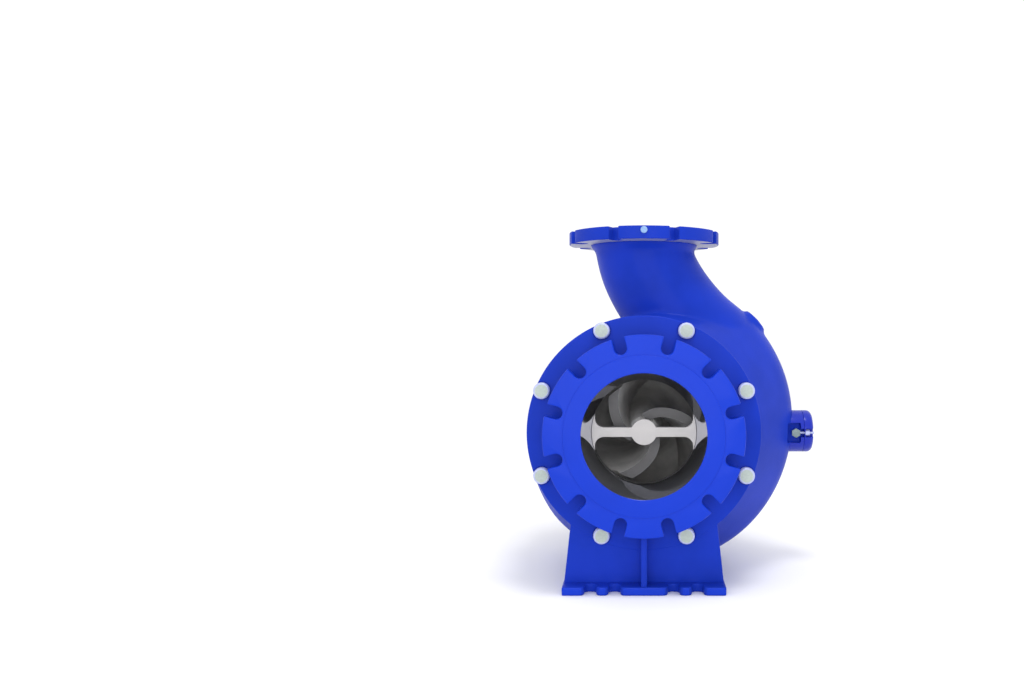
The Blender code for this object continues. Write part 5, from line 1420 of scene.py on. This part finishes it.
# %% Oil filler, sight glass and drain
OIL_TOP_Z, OIL_BOTTOM_Z = AXIS_Z + OIL_BOSS_R + GAP, AXIS_Z - OIL_BOSS_R - GAP
FILLER_NECK_R, FILLER_R, FILLER_T = 0.0135, 0.0170, 0.021
GRIPS, GRIP_CIRCLE_R, GRIP_R = 12, 0.0182, 0.0022
fill_cap = turned(
    [(0.0, 0.0), (FILLER_NECK_R, 0.0, 0.0005), (FILLER_NECK_R, 0.0045), (FILLER_R, 0.005, 0.0008),
     (FILLER_R, FILLER_T, 0.003), (0.0, FILLER_T)],
    64, Vector((0.0, OIL_Y, OIL_TOP_Z)), UP, SIDEWAYS,
)
grips = []
for k in range(GRIPS):
    x = GRIP_CIRCLE_R * math.cos(math.tau * k / GRIPS)
    y = OIL_Y + GRIP_CIRCLE_R * math.sin(math.tau * k / GRIPS)
    grips.append(rod((x, y, OIL_TOP_Z + 0.003), (x, y, OIL_TOP_Z + 0.03), GRIP_R, 16))
add_piece("oil_filler_cap", cut(fill_cap, *grips), ENAMEL, ["oil_fill_cap"])

SIGHT_X, SIGHT_R, LENS_R, BEZEL_INSIDE_R = OIL_BOSS_R + GAP, 0.0160, 0.0113, 0.0115
BEZEL_X, LENS_X = SIGHT_X + 0.006, SIGHT_X + 0.003
bezel = turned(
    [(BEZEL_INSIDE_R, SIGHT_X), (SIGHT_R, SIGHT_X), (SIGHT_R, BEZEL_X, 0.0015),
     (BEZEL_INSIDE_R, BEZEL_X, 0.001)],
    64, *ON_SIGHT,
)
add_piece("sight_bezel", bezel, SHEEN_ZINC, ["oil_sight"])
lens = turned(
    [(0.0, LENS_X), (LENS_R, LENS_X), (LENS_R, SIGHT_X + 0.0048, 0.0006), (0.0, SIGHT_X + 0.0055)],
    48, *ON_SIGHT,
)
add_piece("sight_lens", lens, GLASS)
add_piece("sight_oil", drum(LENS_R, SIGHT_X, SIGHT_X + 0.0025, 48, ON_SIGHT), OIL)
drain = hex_bolt((0.0, DRAIN_Y, OIL_BOTTOM_Z), -UP, *DRAIN_SCREW)
add_piece("drain_screw", drain, SHEEN_ZINC, ["oil_drain_plug"])

# %% [markdown]
# ## Rear foot
# A separate pedestal holds up the bearing end: a foot plate, a tapering web and a rib across it, all one
# casting with rounded edges, under the frame's pad. Four bolts with their heads down hold it to the pad.

# %% Rear foot
REAR_HALF, REAR_T, REAR_TOP_HALF_X, REAR_WEB_T = (0.110, 0.042), 0.014, 0.044, 0.014
REAR_HOLE_X, REAR_HOLE_R, REAR_RIB_HALF_X = 0.080, 0.009, 0.006
PAD_BOLT_X, PAD_BOLT_Y = 0.024, 0.0185


def rear_foot():
    top_z = PAD_BOTTOM_Z - GAP
    half_x, half_y = REAR_HALF
    foot = block((-half_x, REAR_FOOT_Y - half_y, 0.0), (half_x, REAR_FOOT_Y + half_y, REAR_T), 0.003)
    top = block(
        (-REAR_TOP_HALF_X, REAR_FOOT_Y - PAD_HALF[1] - 0.002, top_z - REAR_T),
        (REAR_TOP_HALF_X, REAR_FOOT_Y + PAD_HALF[1], top_z), 0.003,
    )
    web_foot, web_top, low_z, high_z = half_x - 0.012, REAR_TOP_HALF_X - 0.006, REAR_T / 2, top_z - REAR_T / 2
    web_outline = [(-web_foot, low_z), (web_foot, low_z), (web_top, high_z), (-web_top, high_z)]
    web = cross_plate(REAR_FOOT_Y - REAR_WEB_T / 2, web_outline, REAR_WEB_T, 0.003)
    rib = block(
        (-REAR_RIB_HALF_X, REAR_FOOT_Y - PAD_HALF[1] + 0.003, low_z),
        (REAR_RIB_HALF_X, REAR_FOOT_Y + PAD_HALF[1] - 0.003, high_z), 0.003,
    )
    hole_y = REAR_FOOT_Y - half_y * 0.6
    holes = [rod((x, hole_y, -0.01), (x, hole_y, 0.03), REAR_HOLE_R, 32) for x in (-REAR_HOLE_X, REAR_HOLE_X)]
    return cut(joined(foot, top, web, rib), *holes)


add_piece("rear_pedestal", rear_foot(), ENAMEL, ["rear_foot"])
for number in range(4):
    side_x = PAD_BOLT_X if number % 2 else -PAD_BOLT_X
    side_y = PAD_BOLT_Y if number // 2 else -PAD_BOLT_Y
    seat = (side_x, REAR_FOOT_Y + side_y, PAD_BOTTOM_Z - GAP - REAR_T - GAP)
    pad_bolt = hex_bolt(seat, -UP, *SMALL_BOLT)
    add_piece(f"pad_bolt_{number + 1}", pad_bolt, SHEEN_ZINC)

# %% [markdown]
# ## Floor and light
# The photograph is a product picture on plain white. A pale floor and a white sky give that, and they light
# the blue from all sides, so it stays even and bright. One broad soft light near the camera makes the faces
# that look at it brighter than the casing's sides, and a second one from above lifts the flange's top.

# %% Floor and light
scene = bpy.context.scene
scene.view_settings.view_transform = "Standard"
FLOOR_HALF = 14.0

bm = bmesh.new()
bmesh.ops.create_grid(bm, x_segments=8, y_segments=8, size=FLOOR_HALF)
floor_mesh = bpy.data.meshes.new("floor")
bm.to_mesh(floor_mesh)
bm.free()
pale = Finish("pale_floor", (0.95, 0.95, 0.95), 0.8)
pale.feed("Roughness", 0.75 + 0.1 * pale.noise(3.0))
floor_mesh.materials.append(pale.material)
floor = bpy.data.objects.new("floor", floor_mesh)
scene.collection.objects.link(floor)

world = bpy.data.worlds.new("white_room")
world.use_nodes = True
world.node_tree.nodes["Background"].inputs["Color"].default_value = (1.0, 1.0, 1.0, 1.0)
world.node_tree.nodes["Background"].inputs["Strength"].default_value = 1.06
scene.world = world


def soft_light(name, place, target, size, power):
    lamp = bpy.data.lights.new(name, "AREA")
    lamp.shape = "DISK"
    lamp.size = size
    lamp.energy = power
    lamp_object = bpy.data.objects.new(name, lamp)
    lamp_object.location = place
    turn = (Vector(target) - Vector(place)).to_track_quat("-Z", "Y")
    lamp_object.rotation_euler = turn.to_euler()
    scene.collection.objects.link(lamp_object)


soft_light("front_light", (-0.25, -2.7, 0.8), (0.0, 0.0, 0.35), 2.6, 26.0)
soft_light("top_light", (0.3, -0.6, 3.0), (0.0, 0.1, 0.4), 0.8, 24.0)
print("two soft lights in a white room")
